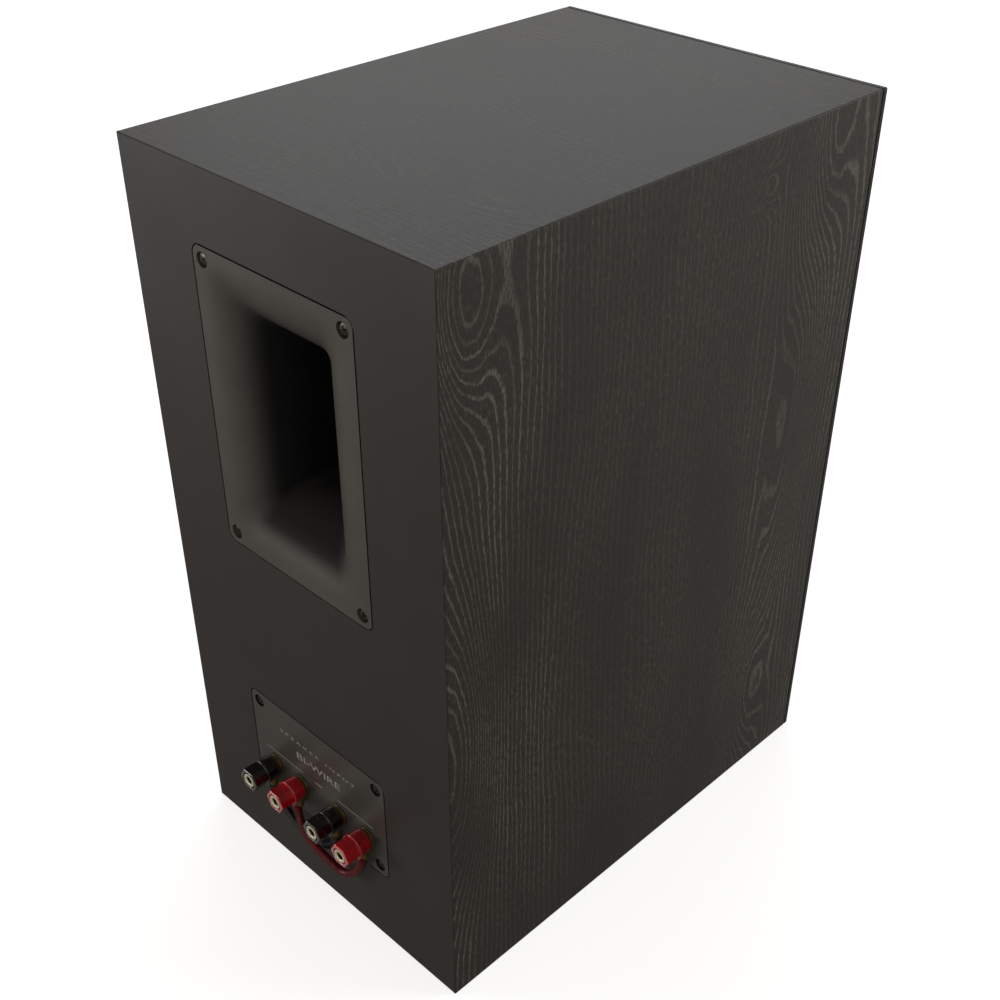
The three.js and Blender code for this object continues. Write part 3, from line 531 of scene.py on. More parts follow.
def oak_film(name, across, along, knots, spacing, seed, strength=1.0, relief=0.05 * MM, roughness=0.5):
    """across and along are (axis, start, sign): which way each direction of the figure runs. Round the
    board's middle the lines are fainter, and they grow back to full strength from CALM_FROM to CALM_TO."""
    material, tree, shader, position = start_material(name)
    parts = add(tree, "ShaderNodeSeparateXYZ", [(0, position)]).outputs

    def direction(axis, start, sign):
        return calc(tree, "MULTIPLY", calc(tree, "SUBTRACT", parts["xyz".index(axis)], start), sign)

    u, v = direction(*across), direction(*along)
    rings = 0.0
    for at_u, at_v, half_u, half_v, number in knots:
        one = place(tree, knot, Across=u, Along=v, Centre_across=at_u, Centre_along=at_v,
                    Half_width=half_u, Half_length=half_v, Rings=number)["Count"]
        rings = calc(tree, "ADD", one, rings)
    figure = place(tree, oak, Across=u, Along=v, Spacing=spacing, Knots=rings, Seed=seed,
                   Line_width=LINE_WIDTH)
    texture = place(tree, surface, Position=position, Grain_size=0.0007, Patch_size=0.05)
    colour = blend_colours(tree, figure["Tone"], FILM_DARK, FILM_BROWN)
    from_calm = calc(tree, "ABSOLUTE", calc(tree, "SUBTRACT", u, CALM_MIDDLE))
    lines = calc(tree, "MULTIPLY", figure["Lines"], ramp(tree, from_calm, CALM_FROM, CALM_TO, 0.3, 1.0))
    pores = calc(tree, "MULTIPLY", figure["Pores"], 0.45 * strength)
    colour = blend_colours(tree, pores, colour, FILM_LINE)
    colour = blend_colours(tree, calc(tree, "MULTIPLY", lines, strength), colour, FILM_LINE)
    specks = place(tree, dust_group, Position=position)["Mask"]
    colour = blend_colours(tree, calc(tree, "MULTIPLY", specks, 0.1), colour, DUST)
    tree.links.new(colour, shader.inputs["Base Color"])
    shine = calc(tree, "MULTIPLY_ADD", texture["Grain"], 0.4, lines)
    tree.links.new(ramp(tree, shine, 0.0, 1.5, roughness - 0.05, roughness + 0.09, "LINEAR"),
                   shader.inputs["Roughness"])
    shader.inputs["Specular IOR Level"].default_value = 0.5
    sunk = calc(tree, "ADD", lines, calc(tree, "MULTIPLY", figure["Pores"], 0.5))
    height = calc(tree, "SUBTRACT", calc(tree, "MULTIPLY", texture["Grain"], 0.25), sunk)
    set_bump(tree, shader, height, relief)
    return material


KNOTS_SIDE = [
    (0.011, HEIGHT - 0.386, 0.019, 0.046, 10.5), (0.006, HEIGHT - 0.160, 0.020, 0.085, -8.0),
    (0.246, HEIGHT - 0.395, 0.022, 0.060, 7.5), (0.198, HEIGHT - 0.376, 0.010, 0.012, 4.6),
    (0.243, HEIGHT - 0.230, 0.016, 0.080, -6.0), (0.236, HEIGHT - 0.060, 0.018, 0.050, 5.4),
]
KNOTS_TOP = [(0.050, 0.150, 0.018, 0.060, 5.0), (0.235, 0.165, 0.022, 0.050, 6.0)]
KNOTS_BASE = [(0.120, 0.070, 0.020, 0.070, 5.0)]
FORWARD, DOWNWARD, SIDEWAYS = ("y", REAR, -1.0), ("z", HEIGHT, -1.0), ("x", HALF_WIDTH, -1.0)
side_film = oak_film("oak film, right side", FORWARD, DOWNWARD, KNOTS_SIDE, 0.0038, 3.0)
other_film = oak_film("oak film, left side", FORWARD, DOWNWARD, KNOTS_SIDE[1:4], 0.0046, 11.0)
top_film = oak_film("oak film, top", FORWARD, SIDEWAYS, KNOTS_TOP, 0.0050, 5.0,
                    strength=0.9, relief=0.06 * MM, roughness=0.46)
base_film = oak_film("oak film, underside", FORWARD, SIDEWAYS, KNOTS_BASE, 0.0048, 8.0)
print("materials so far", len(bpy.data.materials))

# %% [markdown]
# The cabinet's boards meet in mitres, so that the film folds over each edge with no seam. Each board is a
# row of rectangles: from the mitre's inner end up to the rounded edge, where it takes its half of the
# rounding, and then the outer face. Two neighbours then meet exactly in the middle of the rounding.

# %% Cabinet boards
EDGE = 0.7 * MM  # radius of the rounding where two boards meet
HAIRLINE = 0.01 * MM
EDGE_STEPS = 5


def mitred_board(name, ranges, thickness, to_frame, square_sides=()):
    """ranges are the outer face's (start, end) in two directions; to_frame maps (a, b, depth) to a point.
    square_sides are (direction, end) pairs that have no mitre."""
    levels = []
    for i in range(EDGE_STEPS + 1):
        turn = i / EDGE_STEPS * pi / 4
        levels.append((EDGE * (1 - cos(turn)), EDGE * (1 - sin(turn))))
    levels.append((thickness, thickness))
    rings = []
    for depth, inset in levels:
        limits = []
        for direction, (start, end) in enumerate(ranges):
            sides = []
            for number, (value, sign) in enumerate(((start, 1), (end, -1))):
                square = (direction, number) in square_sides
                sides.append(value + sign * (0.0 if square else inset + HAIRLINE))
            limits.append(sides)
        (a0, a1), (b0, b1) = limits
        rings.append([to_frame(a, b, depth) for a, b in ((a0, b0), (a1, b0), (a1, b1), (a0, b1))])
    return skin(name, rings)


def finish_piece(piece, material, slot, body="root", replaced=()):
    """Material, slot (not used), the CAD nodes that it stands for, and the body that it rides on."""
    piece.data.materials.clear()
    piece.data.materials.append(material)
    if replaced:
        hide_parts(*replaced)
    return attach(piece, body) if body else piece


DEPTHS = (CABINET_FRONT, REAR)
boards = [
    ("left_side_board", "left_side_panel", other_film, (DEPTHS, (0, HEIGHT)), ((0, 0),),
     lambda a, b, d: (HALF_WIDTH - d, a, b)),
    ("right_side_board", "right_side_panel", side_film, (DEPTHS, (0, HEIGHT)), ((0, 0),),
     lambda a, b, d: (d - HALF_WIDTH, a, b)),
    ("top_board", "top_panel", top_film, ((-HALF_WIDTH, HALF_WIDTH), DEPTHS), ((1, 0),),
     lambda a, b, d: (a, b, HEIGHT - d)),
    ("bottom_board", "bottom_panel", base_film, ((-HALF_WIDTH, HALF_WIDTH), DEPTHS), ((1, 0),),
     lambda a, b, d: (a, b, d)),
]
for name, node, material, ranges, square, to_frame in boards:
    board = mitred_board(name, ranges, WALL, to_frame, square)
    finish_piece(board, material, "vinyl_wrap", replaced=[node])
print("boards", [b[0] for b in boards])

# %% [markdown]
# The back board is painted, not wrapped. It has a shallow pocket for the port's flange and one for the
# terminal plate, each with a hole through its middle. The pockets are half a millimetre larger than what
# lies in them, which draws the thin dark line round both.

# %% Back board
FIT, LINE_GAP = 0.3 * MM, 0.5 * MM
PORT_Z, PLATE_Z = centre("port_flare", "z"), centre("terminal_plate", "z")
PORT_HALF = (radius_of("port_flare"), high("port_flare", "z") - PORT_Z)
PLATE_HALF = (radius_of("terminal_plate"), high("terminal_plate", "z") - PLATE_Z)
PORT_CORNER, PLATE_CORNER = 5.5 * MM, 5 * MM
PORT_FLANGE, PLATE_THICK = 3.5 * MM, REAR - low("terminal_plate", "y")
PORT_HOLE = (37.2 * MM, 61.2 * MM, 14 * MM)  # half width, half height and corner
PLATE_HOLE = (45 * MM, 21.7 * MM, 4 * MM)
GAP_TOP, GAP_DARK = REAR - 0.2 * MM, REAR - 0.5 * MM

back_paint = finish("back paint", paint(58, 53, 49), paint(53, 48, 44), 0.5, spread=0.03,
                    grain=0.55 * MM, depth=0.02 * MM, patch=60 * MM, dust=0.05)


def pocket_wall_shade(tree, position):
    """1 in the pockets, and 0 on the face and by the board's own edges."""
    inside = calc(tree, "MULTIPLY", mask_of(tree, position, "x", 72 * MM, 70 * MM, 0.0),
                  mask_of(tree, position, "z", 182 * MM, 180 * MM, HEIGHT / 2))
    return calc(tree, "MULTIPLY", mask_of(tree, position, "y", GAP_TOP, GAP_DARK), inside)


# painted shade: the pocket walls, inside the thin gap round the flange and the plate, are painted black
paint_shade(back_paint, SHADE_BLACK, pocket_wall_shade)
back = mitred_board("back_board", ((-HALF_WIDTH, HALF_WIDTH), (0, HEIGHT)), WALL,
                    lambda a, b, d: (a, REAR - d, b))


def opening(half_width, half_height, corner, depth, z):
    """A closed block that cuts a rounded pocket of that depth into the back."""
    rings = [outline(half_width, half_height, corner, y, 0, z) for y in (REAR - depth, REAR + 5 * MM)]
    return skin("opening", rings)


pockets = [
    opening(PORT_HALF[0] + LINE_GAP, PORT_HALF[1] + LINE_GAP, PORT_CORNER + LINE_GAP,
            PORT_FLANGE + FIT, PORT_Z),
    opening(*PORT_HOLE, WALL + 2 * MM, PORT_Z),
    opening(PLATE_HALF[0] + LINE_GAP, PLATE_HALF[1] + LINE_GAP, PLATE_CORNER + LINE_GAP,
            PLATE_THICK + FIT, PLATE_Z),
    opening(*PLATE_HOLE, WALL + 2 * MM, PLATE_Z)]
back = cut(back, *pockets)
FINE_EDGE = 0.12 * MM
round_edges(back, FINE_EDGE)
finish_piece(back, back_paint, "back_paint", replaced=["back_panel"])
print("back board", len(back.data.polygons), "faces")

# %% [markdown]
# The port is one moulding: a flange in the back's pocket and a lip that rolls inwards on a quarter circle,
# then a short spigot. Its openings are rounded rectangles whose corners tighten with depth. One skin of
# rings runs over the flange, down the lip, round the spigot's end and back up the outside.

# %% Port moulding
MOUTH_BORDER, LIP_RADIUS = 4.3 * MM, 32 * MM
MOUTH_CORNER, THROAT_CORNER, SHELL = 15 * MM, 5 * MM, 2.5 * MM
SPIGOT = REAR - low("port_flare", "y")


def port_ring(depth, grow=0.0, at=None):
    turn = acos(max(0.0, 1 - depth / LIP_RADIUS))
    inset = MOUTH_BORDER + LIP_RADIUS * sin(turn) - grow
    corner = THROAT_CORNER + (MOUTH_CORNER - THROAT_CORNER) * (1 - sin(turn)) ** 2 + grow
    return outline(PORT_HALF[0] - inset, PORT_HALF[1] - inset, corner,
                   REAR - (depth if at is None else at), 0, PORT_Z, steps=12)


def flange_ring(inset, y):
    return outline(PORT_HALF[0] - inset, PORT_HALF[1] - inset, PORT_CORNER - inset, y, 0, PORT_Z, steps=12)


LIP_STEPS = 28
lip = [LIP_RADIUS * (1 - cos(i / LIP_STEPS * pi / 2)) for i in range(LIP_STEPS + 1)]
rings = [flange_ring(0, REAR - PORT_FLANGE)]
rings += [flange_ring(inset, REAR - drop) for inset, drop in rounding(0.35 * MM)]
rings += [port_ring(d) for d in lip]
rings += [port_ring(LIP_RADIUS, at=LIP_RADIUS + (SPIGOT - LIP_RADIUS) * i / 3) for i in (1, 2, 3)]
rings += [port_ring(LIP_RADIUS, SHELL, at=SPIGOT)]
rings += [port_ring(d, SHELL) for d in reversed(lip) if d > PORT_FLANGE]
rings += [port_ring(PORT_FLANGE, SHELL)]
flare = skin("port_moulding", rings, closed=True)
print("port moulding", len(rings), "rings")

# %% [markdown]
# Each screw sits in a counterbore, so its head stays below the face. Two diameters in one turned tool make
# the counterbore and the hole for the shank in one cut, as a stepped drill does.

# %% Screw bores
SCREW_SINK = 0.7 * MM
BORE_RADIUS, BORE_DEPTH, SHANK_HOLE = 3.7 * MM, 2.4 * MM, 1.8 * MM


def screw_bore(node):
    """A stepped drill over a screw: a wide counterbore, and a hole for the shank."""
    x, z = centre(node, "x"), centre(node, "z")
    floor_y = REAR - BORE_DEPTH
    return turned("drill", [(0, REAR - 20 * MM), (SHANK_HOLE, REAR - 20 * MM), (SHANK_HOLE, floor_y),
                            (BORE_RADIUS, floor_y), (BORE_RADIUS, REAR + MM), (0, REAR + MM)],
                  x, z, steps=40)


PORT_SCREWS = [f"port_screw_{i}" for i in (1, 2, 3, 4)]
PLATE_SCREWS = [f"plate_screw_{i}" for i in (1, 2, 3, 4)]
flare = cut(flare, *[screw_bore(node) for node in PORT_SCREWS])
round_edges(flare, FINE_EDGE)
print("port moulding", len(flare.data.polygons), "faces")

# %% [markdown]
# The port is moulded in a dark grey plastic with a fine texture. Little light gets into the funnel, so shade
# is
# painted on it: the plastic is painted darker quickly with depth, and most of all on its floor. The sides of
# the flange face a gap of half a millimetre and are painted black as shade too.

# %% Port plastic
moulded = finish("moulded plastic", paint(101, 96, 89), paint(92, 87, 81), 0.44, spread=0.03,
                 grain=0.5 * MM, depth=0.025 * MM, patch=45 * MM, specular=0.32, dust=0.06)


def outer_rim(tree, position, half, z):
    """1 on the sides of a flush piece, which face the gap round it."""
    from_side, to_side = 0.45 * MM, 0.2 * MM
    return calc(tree, "MAXIMUM", mask_of(tree, position, "x", half[0] - from_side, half[0] - to_side, 0.0),
                mask_of(tree, position, "z", half[1] - from_side, half[1] - to_side, z))


def funnel_and_rim_shade(tree, position):
    """Where shade is painted: 1 deep in the funnel and on the flange's sides."""
    return calc(tree, "MAXIMUM", mask_of(tree, position, "y", REAR + 3 * MM, REAR - 14 * MM),
                outer_rim(tree, position, PORT_HALF, PORT_Z))


def funnel_floor_shade(tree, position):
    """1 on the funnel's floor, which looks up into the shadow of the port."""
    upward = add(tree, "ShaderNodeSeparateXYZ",
                 [(0, add(tree, "ShaderNodeNewGeometry").outputs["Normal"])]).outputs[2]
    return calc(tree, "MULTIPLY", ramp(tree, upward, 0.0, 0.72),
                mask_of(tree, position, "y", REAR, REAR - 5 * MM))


# painted shade: black deep in the funnel and on the flange's sides
paint_shade(moulded, SHADE_BLACK, funnel_and_rim_shade)
# painted shade: the funnel's upward floor is taken to a dark grey, rougher finish
paint_shade(moulded, paint(31, 29, 27), funnel_floor_shade, roughness=0.95)
finish_piece(flare, moulded, "moulded_plastic", replaced=["port_flare"])
print("plastic on", flare.name)

# %% [markdown]
# The tube is a sleeve that slips over the spigot from inside the cabinet. Behind the spigot it narrows to
# the throat's own size, so the air passage has no step. Both ends are left open.

# %% Port tube
SOCKET_FROM, SOCKET_WALL, TUBE_WALL = 38 * MM, 2.8 * MM, 2 * MM
TUBE_END = REAR - low("port_tube", "y")
THROAT_HALF = [half - MOUTH_BORDER - LIP_RADIUS for half in PORT_HALF]


def tube_ring(grow, depth):
    return outline(THROAT_HALF[0] + grow, THROAT_HALF[1] + grow, THROAT_CORNER + grow, REAR - depth, 0,
                   PORT_Z)


tube = skin("port_tube_sleeve", [tube_ring(grow, depth) for grow, depth in (
    (SOCKET_WALL + TUBE_WALL, SOCKET_FROM), (SOCKET_WALL + TUBE_WALL, SPIGOT + TUBE_WALL),
    (SHELL, SPIGOT + 2 * TUBE_WALL), (SHELL, TUBE_END), (0, TUBE_END), (0, SPIGOT + FIT),
    (SOCKET_WALL, SPIGOT + FIT), (SOCKET_WALL, SOCKET_FROM))], closed=True)
round_edges(tube, 0.3 * MM)
finish_piece(tube, moulded, "moulded_plastic", replaced=["port_tube"])
print("port tube", TUBE_END - SOCKET_FROM, "long")

# %% [markdown]
# The terminal plate lies in the lower pocket. Its screws are the same as the port's, and four larger holes
# take the posts' studs. Its plastic is smoother than the port's, so the red knobs show in it faintly.

# %% Terminal plate
POSTS = (1, 2, 3, 4)
POST_Z = centre("post_1_stud", "z")
POST_X = [centre(f"post_{i}_stud", "x") for i in POSTS]
STUD_RADIUS = 4 * MM
plate = slab("terminal_panel", *PLATE_HALF, PLATE_CORNER, REAR - PLATE_THICK, REAR, 0, PLATE_Z, 0.35 * MM)
stud_holes = [turned("drill", [(0, REAR - 9 * MM), (STUD_RADIUS + FIT, REAR - 9 * MM),
                               (STUD_RADIUS + FIT, REAR + MM), (0, REAR + MM)], x, POST_Z, 40)
              for x in POST_X]
plate = cut(plate, *[screw_bore(node) for node in PLATE_SCREWS], *stud_holes)
round_edges(plate, FINE_EDGE)
plate_plastic = finish("plate plastic", paint(82, 78, 73), paint(75, 71, 66), 0.27, spread=0.03,
                       grain=0.45 * MM, depth=0.02 * MM, patch=40 * MM, dust=0.05)
# painted shade: the plate's sides in the gap, and every wall below its face such as the counterbores, are
# painted black
paint_shade(plate_plastic, SHADE_BLACK, lambda tree, at: calc(
    tree, "MAXIMUM", mask_of(tree, at, "y", GAP_TOP, GAP_DARK), outer_rim(tree, at, PLATE_HALF, PLATE_Z)))
finish_piece(plate, plate_plastic, "moulded_plastic", replaced=["terminal_plate"])
print("plate", len(plate.data.polygons), "faces")

# %% [markdown]
# The plate's printing is kept generic: a line of words, a larger word, and rules that tie each pair of
# posts together. Ink is a very thin layer, so text is made flat, given a little thickness, and set a hair
# into the plate.

# %% Printing on the plate
ink = finish("printed ink", paint(186, 179, 170), paint(164, 157, 149), 0.6, grain=0.3 * MM,
             depth=0.004 * MM, patch=4 * MM, dust=0.0)
INK_THICK = 0.03 * MM


def printed(name, words, size, width, z):
    """Words in the plate's plane, stretched to a width and read from behind the speaker."""
    curve = bpy.data.curves.new(name, "FONT")
    curve.body, curve.size, curve.align_x, curve.align_y = words, size, "CENTER", "CENTER"
    curve.extrude = INK_THICK
    text = bpy.data.objects.new(name, curve)
    bpy.context.scene.collection.objects.link(text)
    bpy.context.view_layer.update()
    wide = text.dimensions.x
    mesh = bpy.data.meshes.new_from_object(text)
    mesh.transform(Matrix.Translation((0, REAR, z)) @ Matrix.Rotation(pi, 4, "Z")
                   @ Matrix.Rotation(pi / 2, 4, "X") @ Matrix.Diagonal((width / wide, 1, 1, 1)))
    bpy.data.objects.remove(text)
    piece = bpy.data.objects.new(name, mesh)
    bpy.context.scene.collection.objects.link(piece)
    return finish_piece(piece, ink, "moulded_plastic")


def rule(name, x_from, x_to, z, height=0.35 * MM):
    middle, half = (x_from + x_to) / 2, abs(x_to - x_from) / 2
    piece = slab(name, half, height / 2, height / 4, REAR - INK_THICK, REAR + INK_THICK, middle, z,
                 INK_THICK / 2)
    return finish_piece(piece, ink, "moulded_plastic")


printed("print_heading", "S P E A K E R   I N P U T", 2.6 * MM, 60 * MM, PLATE_Z + 16.8 * MM)
printed("print_name", "BI-WIRE", 6.4 * MM, 35 * MM, PLATE_Z + 7.2 * MM)
RULE_Z = POST_Z + 9.7 * MM
rule("print_rule_1", 44 * MM, 13 * MM, RULE_Z)
rule("print_rule_2", 3.2 * MM, -2.4 * MM, RULE_Z, 0.7 * MM)
rule("print_rule_3", -14.6 * MM, -43 * MM, RULE_Z)
print("plate at z", PLATE_Z, "posts at x", POST_X)

# %% [markdown]
# All eight screws are alike: a flat-topped head with a rounded rim, a cross recess with tapered walls, and
# a shank. One mesh is made and shared; each screw gets its own turn, since screws never line up.

# %% Screws
screw_black = finish("blackened steel", paint(122, 115, 105), paint(66, 61, 56), 0.32, metallic=0.9,
                     grain=0.25 * MM, depth=0.015 * MM, patch=3 * MM, dust=0.3)
HEAD_RADIUS, HEAD_THICK, SHANK_RADIUS, SHANK_END = 2.9 * MM, 1.6 * MM, 1.5 * MM, 11.7 * MM
RECESS_DEPTH = 1.2 * MM
head = turned("screw", [(0, 0), (HEAD_RADIUS - 0.7 * MM, 0), (HEAD_RADIUS - 0.25 * MM, -0.16 * MM),
                        (HEAD_RADIUS, -0.5 * MM), (HEAD_RADIUS, -HEAD_THICK), (SHANK_RADIUS, -HEAD_THICK),
                        (SHANK_RADIUS, 2 * MM - SHANK_END), (0, -SHANK_END)], steps=48)
slots = []
SLOT_NARROW, SLOT_WIDE = 0.36 * MM, 1.75 * MM
TAPER = ((0.62, -RECESS_DEPTH), (1.0, 0.05 * MM), (1.03, 0.3 * MM))
for half_across, half_up in ((SLOT_NARROW, SLOT_WIDE), (SLOT_WIDE, SLOT_NARROW)):
    slots.append(skin("slot", [outline(half_across * grow, half_up * grow, 0.1 * MM, y, steps=2)
                               for grow, y in TAPER]))
head = round_edges(cut(head, *slots), 0.07 * MM)
bpy.context.view_layer.update()
screw_mesh = bake(head).data
bpy.data.objects.remove(head)

chance = random.Random(7)
for node in PORT_SCREWS + PLATE_SCREWS:
    screw = bpy.data.objects.new("cross_" + node, screw_mesh)
    bpy.context.scene.collection.objects.link(screw)
    screw.matrix_world = (Matrix.Translation((centre(node, "x"), REAR - SCREW_SINK, centre(node, "z")))
                          @ Matrix.Rotation(chance.uniform(0, pi / 2), 4, "Y"))
    finish_piece(screw, screw_black, "screw_black", replaced=[node])
print("screws", len(screw_mesh.polygons), "faces each")

# %% [markdown]
# A binding post is a plated stud with a 4 mm socket down its middle, held by a nut inside, with a fixed
# flange, a lug, a washer and the knob outside. The plating is painted pale on the stud's end face as a
# highlight, and painted darker further in as shade. The knobs are glossy, with a paler colour painted on the
# end face and the ring as a highlight.

# %% Post materials
# the pale, nearly white colour is a painted highlight for the stud's end face
gold = finish("gold plate", paint(255, 246, 214), paint(246, 230, 190), 0.36, metallic=0.3, spread=0.05,
              grain=0.3 * MM, depth=0.01 * MM, patch=2 * MM, dust=0.1)
STUD_END = high("post_1_stud", "y")
SOCKET_SHADE, FLANGE_GOLD_SHADE = paint(16, 13, 8), paint(112, 92, 48)
# painted shade: near black in the socket and below the end face, and a dull olive gold on the parts near the
# plate
paint_shade(gold, SOCKET_SHADE, lambda tree, at: mask_of(
    tree, at, "y", STUD_END - 0.15 * MM, STUD_END - 0.9 * MM), roughness=0.4)
paint_shade(gold, FLANGE_GOLD_SHADE, lambda tree, at: mask_of(
    tree, at, "y", REAR + 8 * MM, REAR + 5 * MM), roughness=0.34)


def knob_finish(name, body, face, deep, at):
    """at is the end face's y and the ring's two."""
    material, tree, shader, position = start_material(name)
    texture = place(tree, surface, Position=position, Grain_size=0.9 * MM, Patch_size=12 * MM)
    y = add(tree, "ShaderNodeSeparateXYZ", [(0, position)]).outputs[1]
    face_at, ring_from, ring_to = at
    # painted highlight: the end face, and the ring more faintly, are taken to the paler face colour
    face_highlight = ramp(tree, y, face_at - 0.35 * MM, face_at - 0.05 * MM)
    ring_highlight = calc(tree, "MULTIPLY", ramp(tree, y, ring_from, ring_from + 0.15 * MM),
                   ramp(tree, y, ring_to - 0.15 * MM, ring_to, 1.0, 0.0))
    colour = blend_colours(tree, calc(tree, "MULTIPLY", texture["Patches"], 0.5), body, deep)
    colour = blend_colours(tree, calc(tree, "MAXIMUM", face_highlight, calc(tree, "MULTIPLY", ring_highlight, 0.35)),
                           colour, face)
    tree.links.new(colour, shader.inputs["Base Color"])
    tree.links.new(ramp(tree, texture["Patches"], 0.0, 1.0, 0.06, 0.12, "LINEAR"),
                   shader.inputs["Roughness"])
    shader.inputs["Coat Weight"].default_value = 0.7
    shader.inputs["Coat Roughness"].default_value = 0.05
    set_bump(tree, shader, texture["Grain"], 0.006 * MM)
    return material


KNOB_FRONT, KNOB_BACK = high("post_1_knob", "y"), low("post_1_knob", "y")
RING_FROM, RING_TO = REAR + 9.3 * MM, REAR + 10.3 * MM
RING_AT = (KNOB_FRONT, RING_FROM + 0.15 * MM, RING_TO - 0.15 * MM)
# the third colour of each knob is its painted highlight on the end face and the ring
knob_black = knob_finish("black knob", paint(10, 10, 11), paint(104, 99, 98), paint(5, 5, 6), RING_AT)
knob_red = knob_finish("red knob", paint(204, 7, 25), paint(240, 134, 140), paint(74, 2, 8), RING_AT)
print("ring from", RING_FROM, "to", RING_TO)

# %% [markdown]
# The hexagonal half of the knob is not turned, but it can still be a skin of rings: the radius of each
# ring follows the hexagon's flats, with a corner on either side. The ring counts stay the same, so round
# and hexagonal rings join into one mesh.

# %% Knobs
KNOB_STEPS = 72
HEX_RADIUS, REAR_RADIUS, RING_RADIUS = 7 * MM, 6.9 * MM, 7.25 * MM
KNOB_BORE = 4.62 * MM


def knob_ring(x, y, radius, hexagonal):
    points = []
    for i in range(KNOB_STEPS):
        angle = 2 * pi * i / KNOB_STEPS
        r = radius
        if hexagonal:
            r = radius * cos(pi / 6) / cos(angle % (pi / 3) - pi / 6)
        points.append((x + r * cos(angle), y, POST_Z + r * sin(angle)))
    return points


def knob(name, x):
    chamfer = 0.55 * MM
    rows = [(KNOB_BACK, KNOB_BORE, False), (KNOB_BACK, REAR_RADIUS - 0.3 * MM, False),
            (KNOB_BACK + 0.1 * MM, REAR_RADIUS - 0.1 * MM, False),
            (KNOB_BACK + 0.3 * MM, REAR_RADIUS, False), (RING_FROM + 0.1 * MM, REAR_RADIUS, False),
            (RING_FROM + 0.25 * MM, RING_RADIUS, False), (RING_TO - 0.25 * MM, RING_RADIUS, False),
            (RING_TO - 0.1 * MM, HEX_RADIUS + 0.05 * MM, False), (RING_TO, HEX_RADIUS, True),
            (KNOB_FRONT - chamfer, HEX_RADIUS, True),
            (KNOB_FRONT - 0.12 * MM, HEX_RADIUS - 0.45 * MM, True),
            (KNOB_FRONT, HEX_RADIUS - 0.7 * MM, True),
            (KNOB_FRONT, KNOB_BORE + 0.2 * MM, False), (KNOB_FRONT - 0.2 * MM, KNOB_BORE, False)]
    return skin(name, [knob_ring(x, y, r, flat) for y, r, flat in rows], closed=True)


print("knob from", KNOB_BACK, "to", KNOB_FRONT)

# %% [markdown]
# The knob unscrews, so the stud's barrel has its thread all the way: ridges one millimetre apart, which is
# the thread's pitch. The stud is turned in one piece with the socket for a plug, the flange that lies on
# the plate, and the shank that goes through it. A hexagonal nut holds it from behind.

# %% Studs and nuts
PITCH, THREAD = 1 * MM, 0.28 * MM
SOCKET_RADIUS, SOCKET_DEPTH = 2.2 * MM, 15 * MM


def stud(name, x):
    profile = [(0, STUD_END - SOCKET_DEPTH), (SOCKET_RADIUS, STUD_END - SOCKET_DEPTH),
               (SOCKET_RADIUS, STUD_END - 0.7 * MM), (SOCKET_RADIUS + 0.25 * MM, STUD_END - 0.25 * MM),
               (SOCKET_RADIUS + 0.7 * MM, STUD_END), (STUD_RADIUS - 0.15 * MM, STUD_END),
               (STUD_RADIUS, STUD_END - 0.2 * MM), (STUD_RADIUS, STUD_END - 1.2 * MM)]
    y = STUD_END - 1.2 * MM
    while y > REAR + 3.5 * MM:
        profile += [(STUD_RADIUS - THREAD, y - 0.35 * PITCH), (STUD_RADIUS - THREAD, y - 0.45 * PITCH),
                    (STUD_RADIUS, y - 0.8 * PITCH), (STUD_RADIUS, y - PITCH)]
        y -= PITCH
    flange = high("post_1_stud", "x") - POST_X[0]
    profile += [(STUD_RADIUS, REAR + 0.9 * MM), (flange - 0.15 * MM, REAR + 0.9 * MM),
                (flange, REAR + 0.75 * MM), (flange, REAR + 0.45 * MM), (flange - 0.15 * MM, REAR + FIT),
                (STUD_RADIUS, REAR + FIT), (STUD_RADIUS, REAR - 8.6 * MM),
                (STUD_RADIUS - 0.4 * MM, REAR - 9 * MM), (1.6 * MM, REAR - 9 * MM),
                (1.6 * MM, REAR - 16.7 * MM), (1.3 * MM, REAR - 17 * MM), (0, REAR - 17 * MM)]
    return turned(name, profile, x, POST_Z, steps=48)


def nut(name, x):
    outer, inner_y, outer_y = 6.6 * MM, REAR - PLATE_THICK - FIT - 3 * MM, REAR - PLATE_THICK - FIT
    rows = [(inner_y, STUD_RADIUS + FIT, False), (inner_y, outer - 0.9 * MM, False),
            (inner_y + 0.35 * MM, outer, True), (outer_y - 0.35 * MM, outer, True),
            (outer_y, outer - 0.9 * MM, False), (outer_y, STUD_RADIUS + FIT, False)]
    return skin(name, [knob_ring(x, y, r, flat) for y, r, flat in rows], closed=True)


print("thread pitch", PITCH, "socket", 2 * SOCKET_RADIUS)

# %% [markdown]
# Four posts stand in one row, black and red in turn. On each of them the knob and the clamp washer are on
# bodies of their own: the knob turns and lifts, and the washer lifts with it.

# %% Posts
for i, x in zip(POSTS, POST_X):
    colour, slot = ((knob_black, "knob_black") if i % 2 else (knob_red, "knob_red"))
    finish_piece(knob(f"post_{i}_cap_knob", x), colour, slot, f"post_{i}_cap", [f"post_{i}_knob"])
    finish_piece(stud(f"post_{i}_barrel", x), gold, "gold_plate", replaced=[f"post_{i}_stud"])
    finish_piece(nut(f"post_{i}_back_nut", x), gold, "gold_plate", replaced=[f"post_{i}_nut"])
    node = f"post_{i}_washer"
    washer_rim = high(node, "x") - x
    washer = turned(f"post_{i}_clamp_washer", [
        (STUD_RADIUS + FIT, low(node, "y")), (washer_rim - 0.12 * MM, low(node, "y")),
        (washer_rim, low(node, "y") + 0.15 * MM), (washer_rim, high(node, "y") - 0.15 * MM),
        (washer_rim - 0.12 * MM, high(node, "y")), (STUD_RADIUS + FIT, high(node, "y"))],
        x, POST_Z, steps=48)
    finish_piece(washer, gold, "gold_plate", f"post_{i}_clamp", [node])
print("posts at", POST_X, "height", POST_Z)

# %% [markdown]
# The jumpers' routes are short lists of points, given as x, distance out from the plate, and z. A smooth
# curve through them carries a round section. The section is never twisted, so its lines run straight along
# the lead.

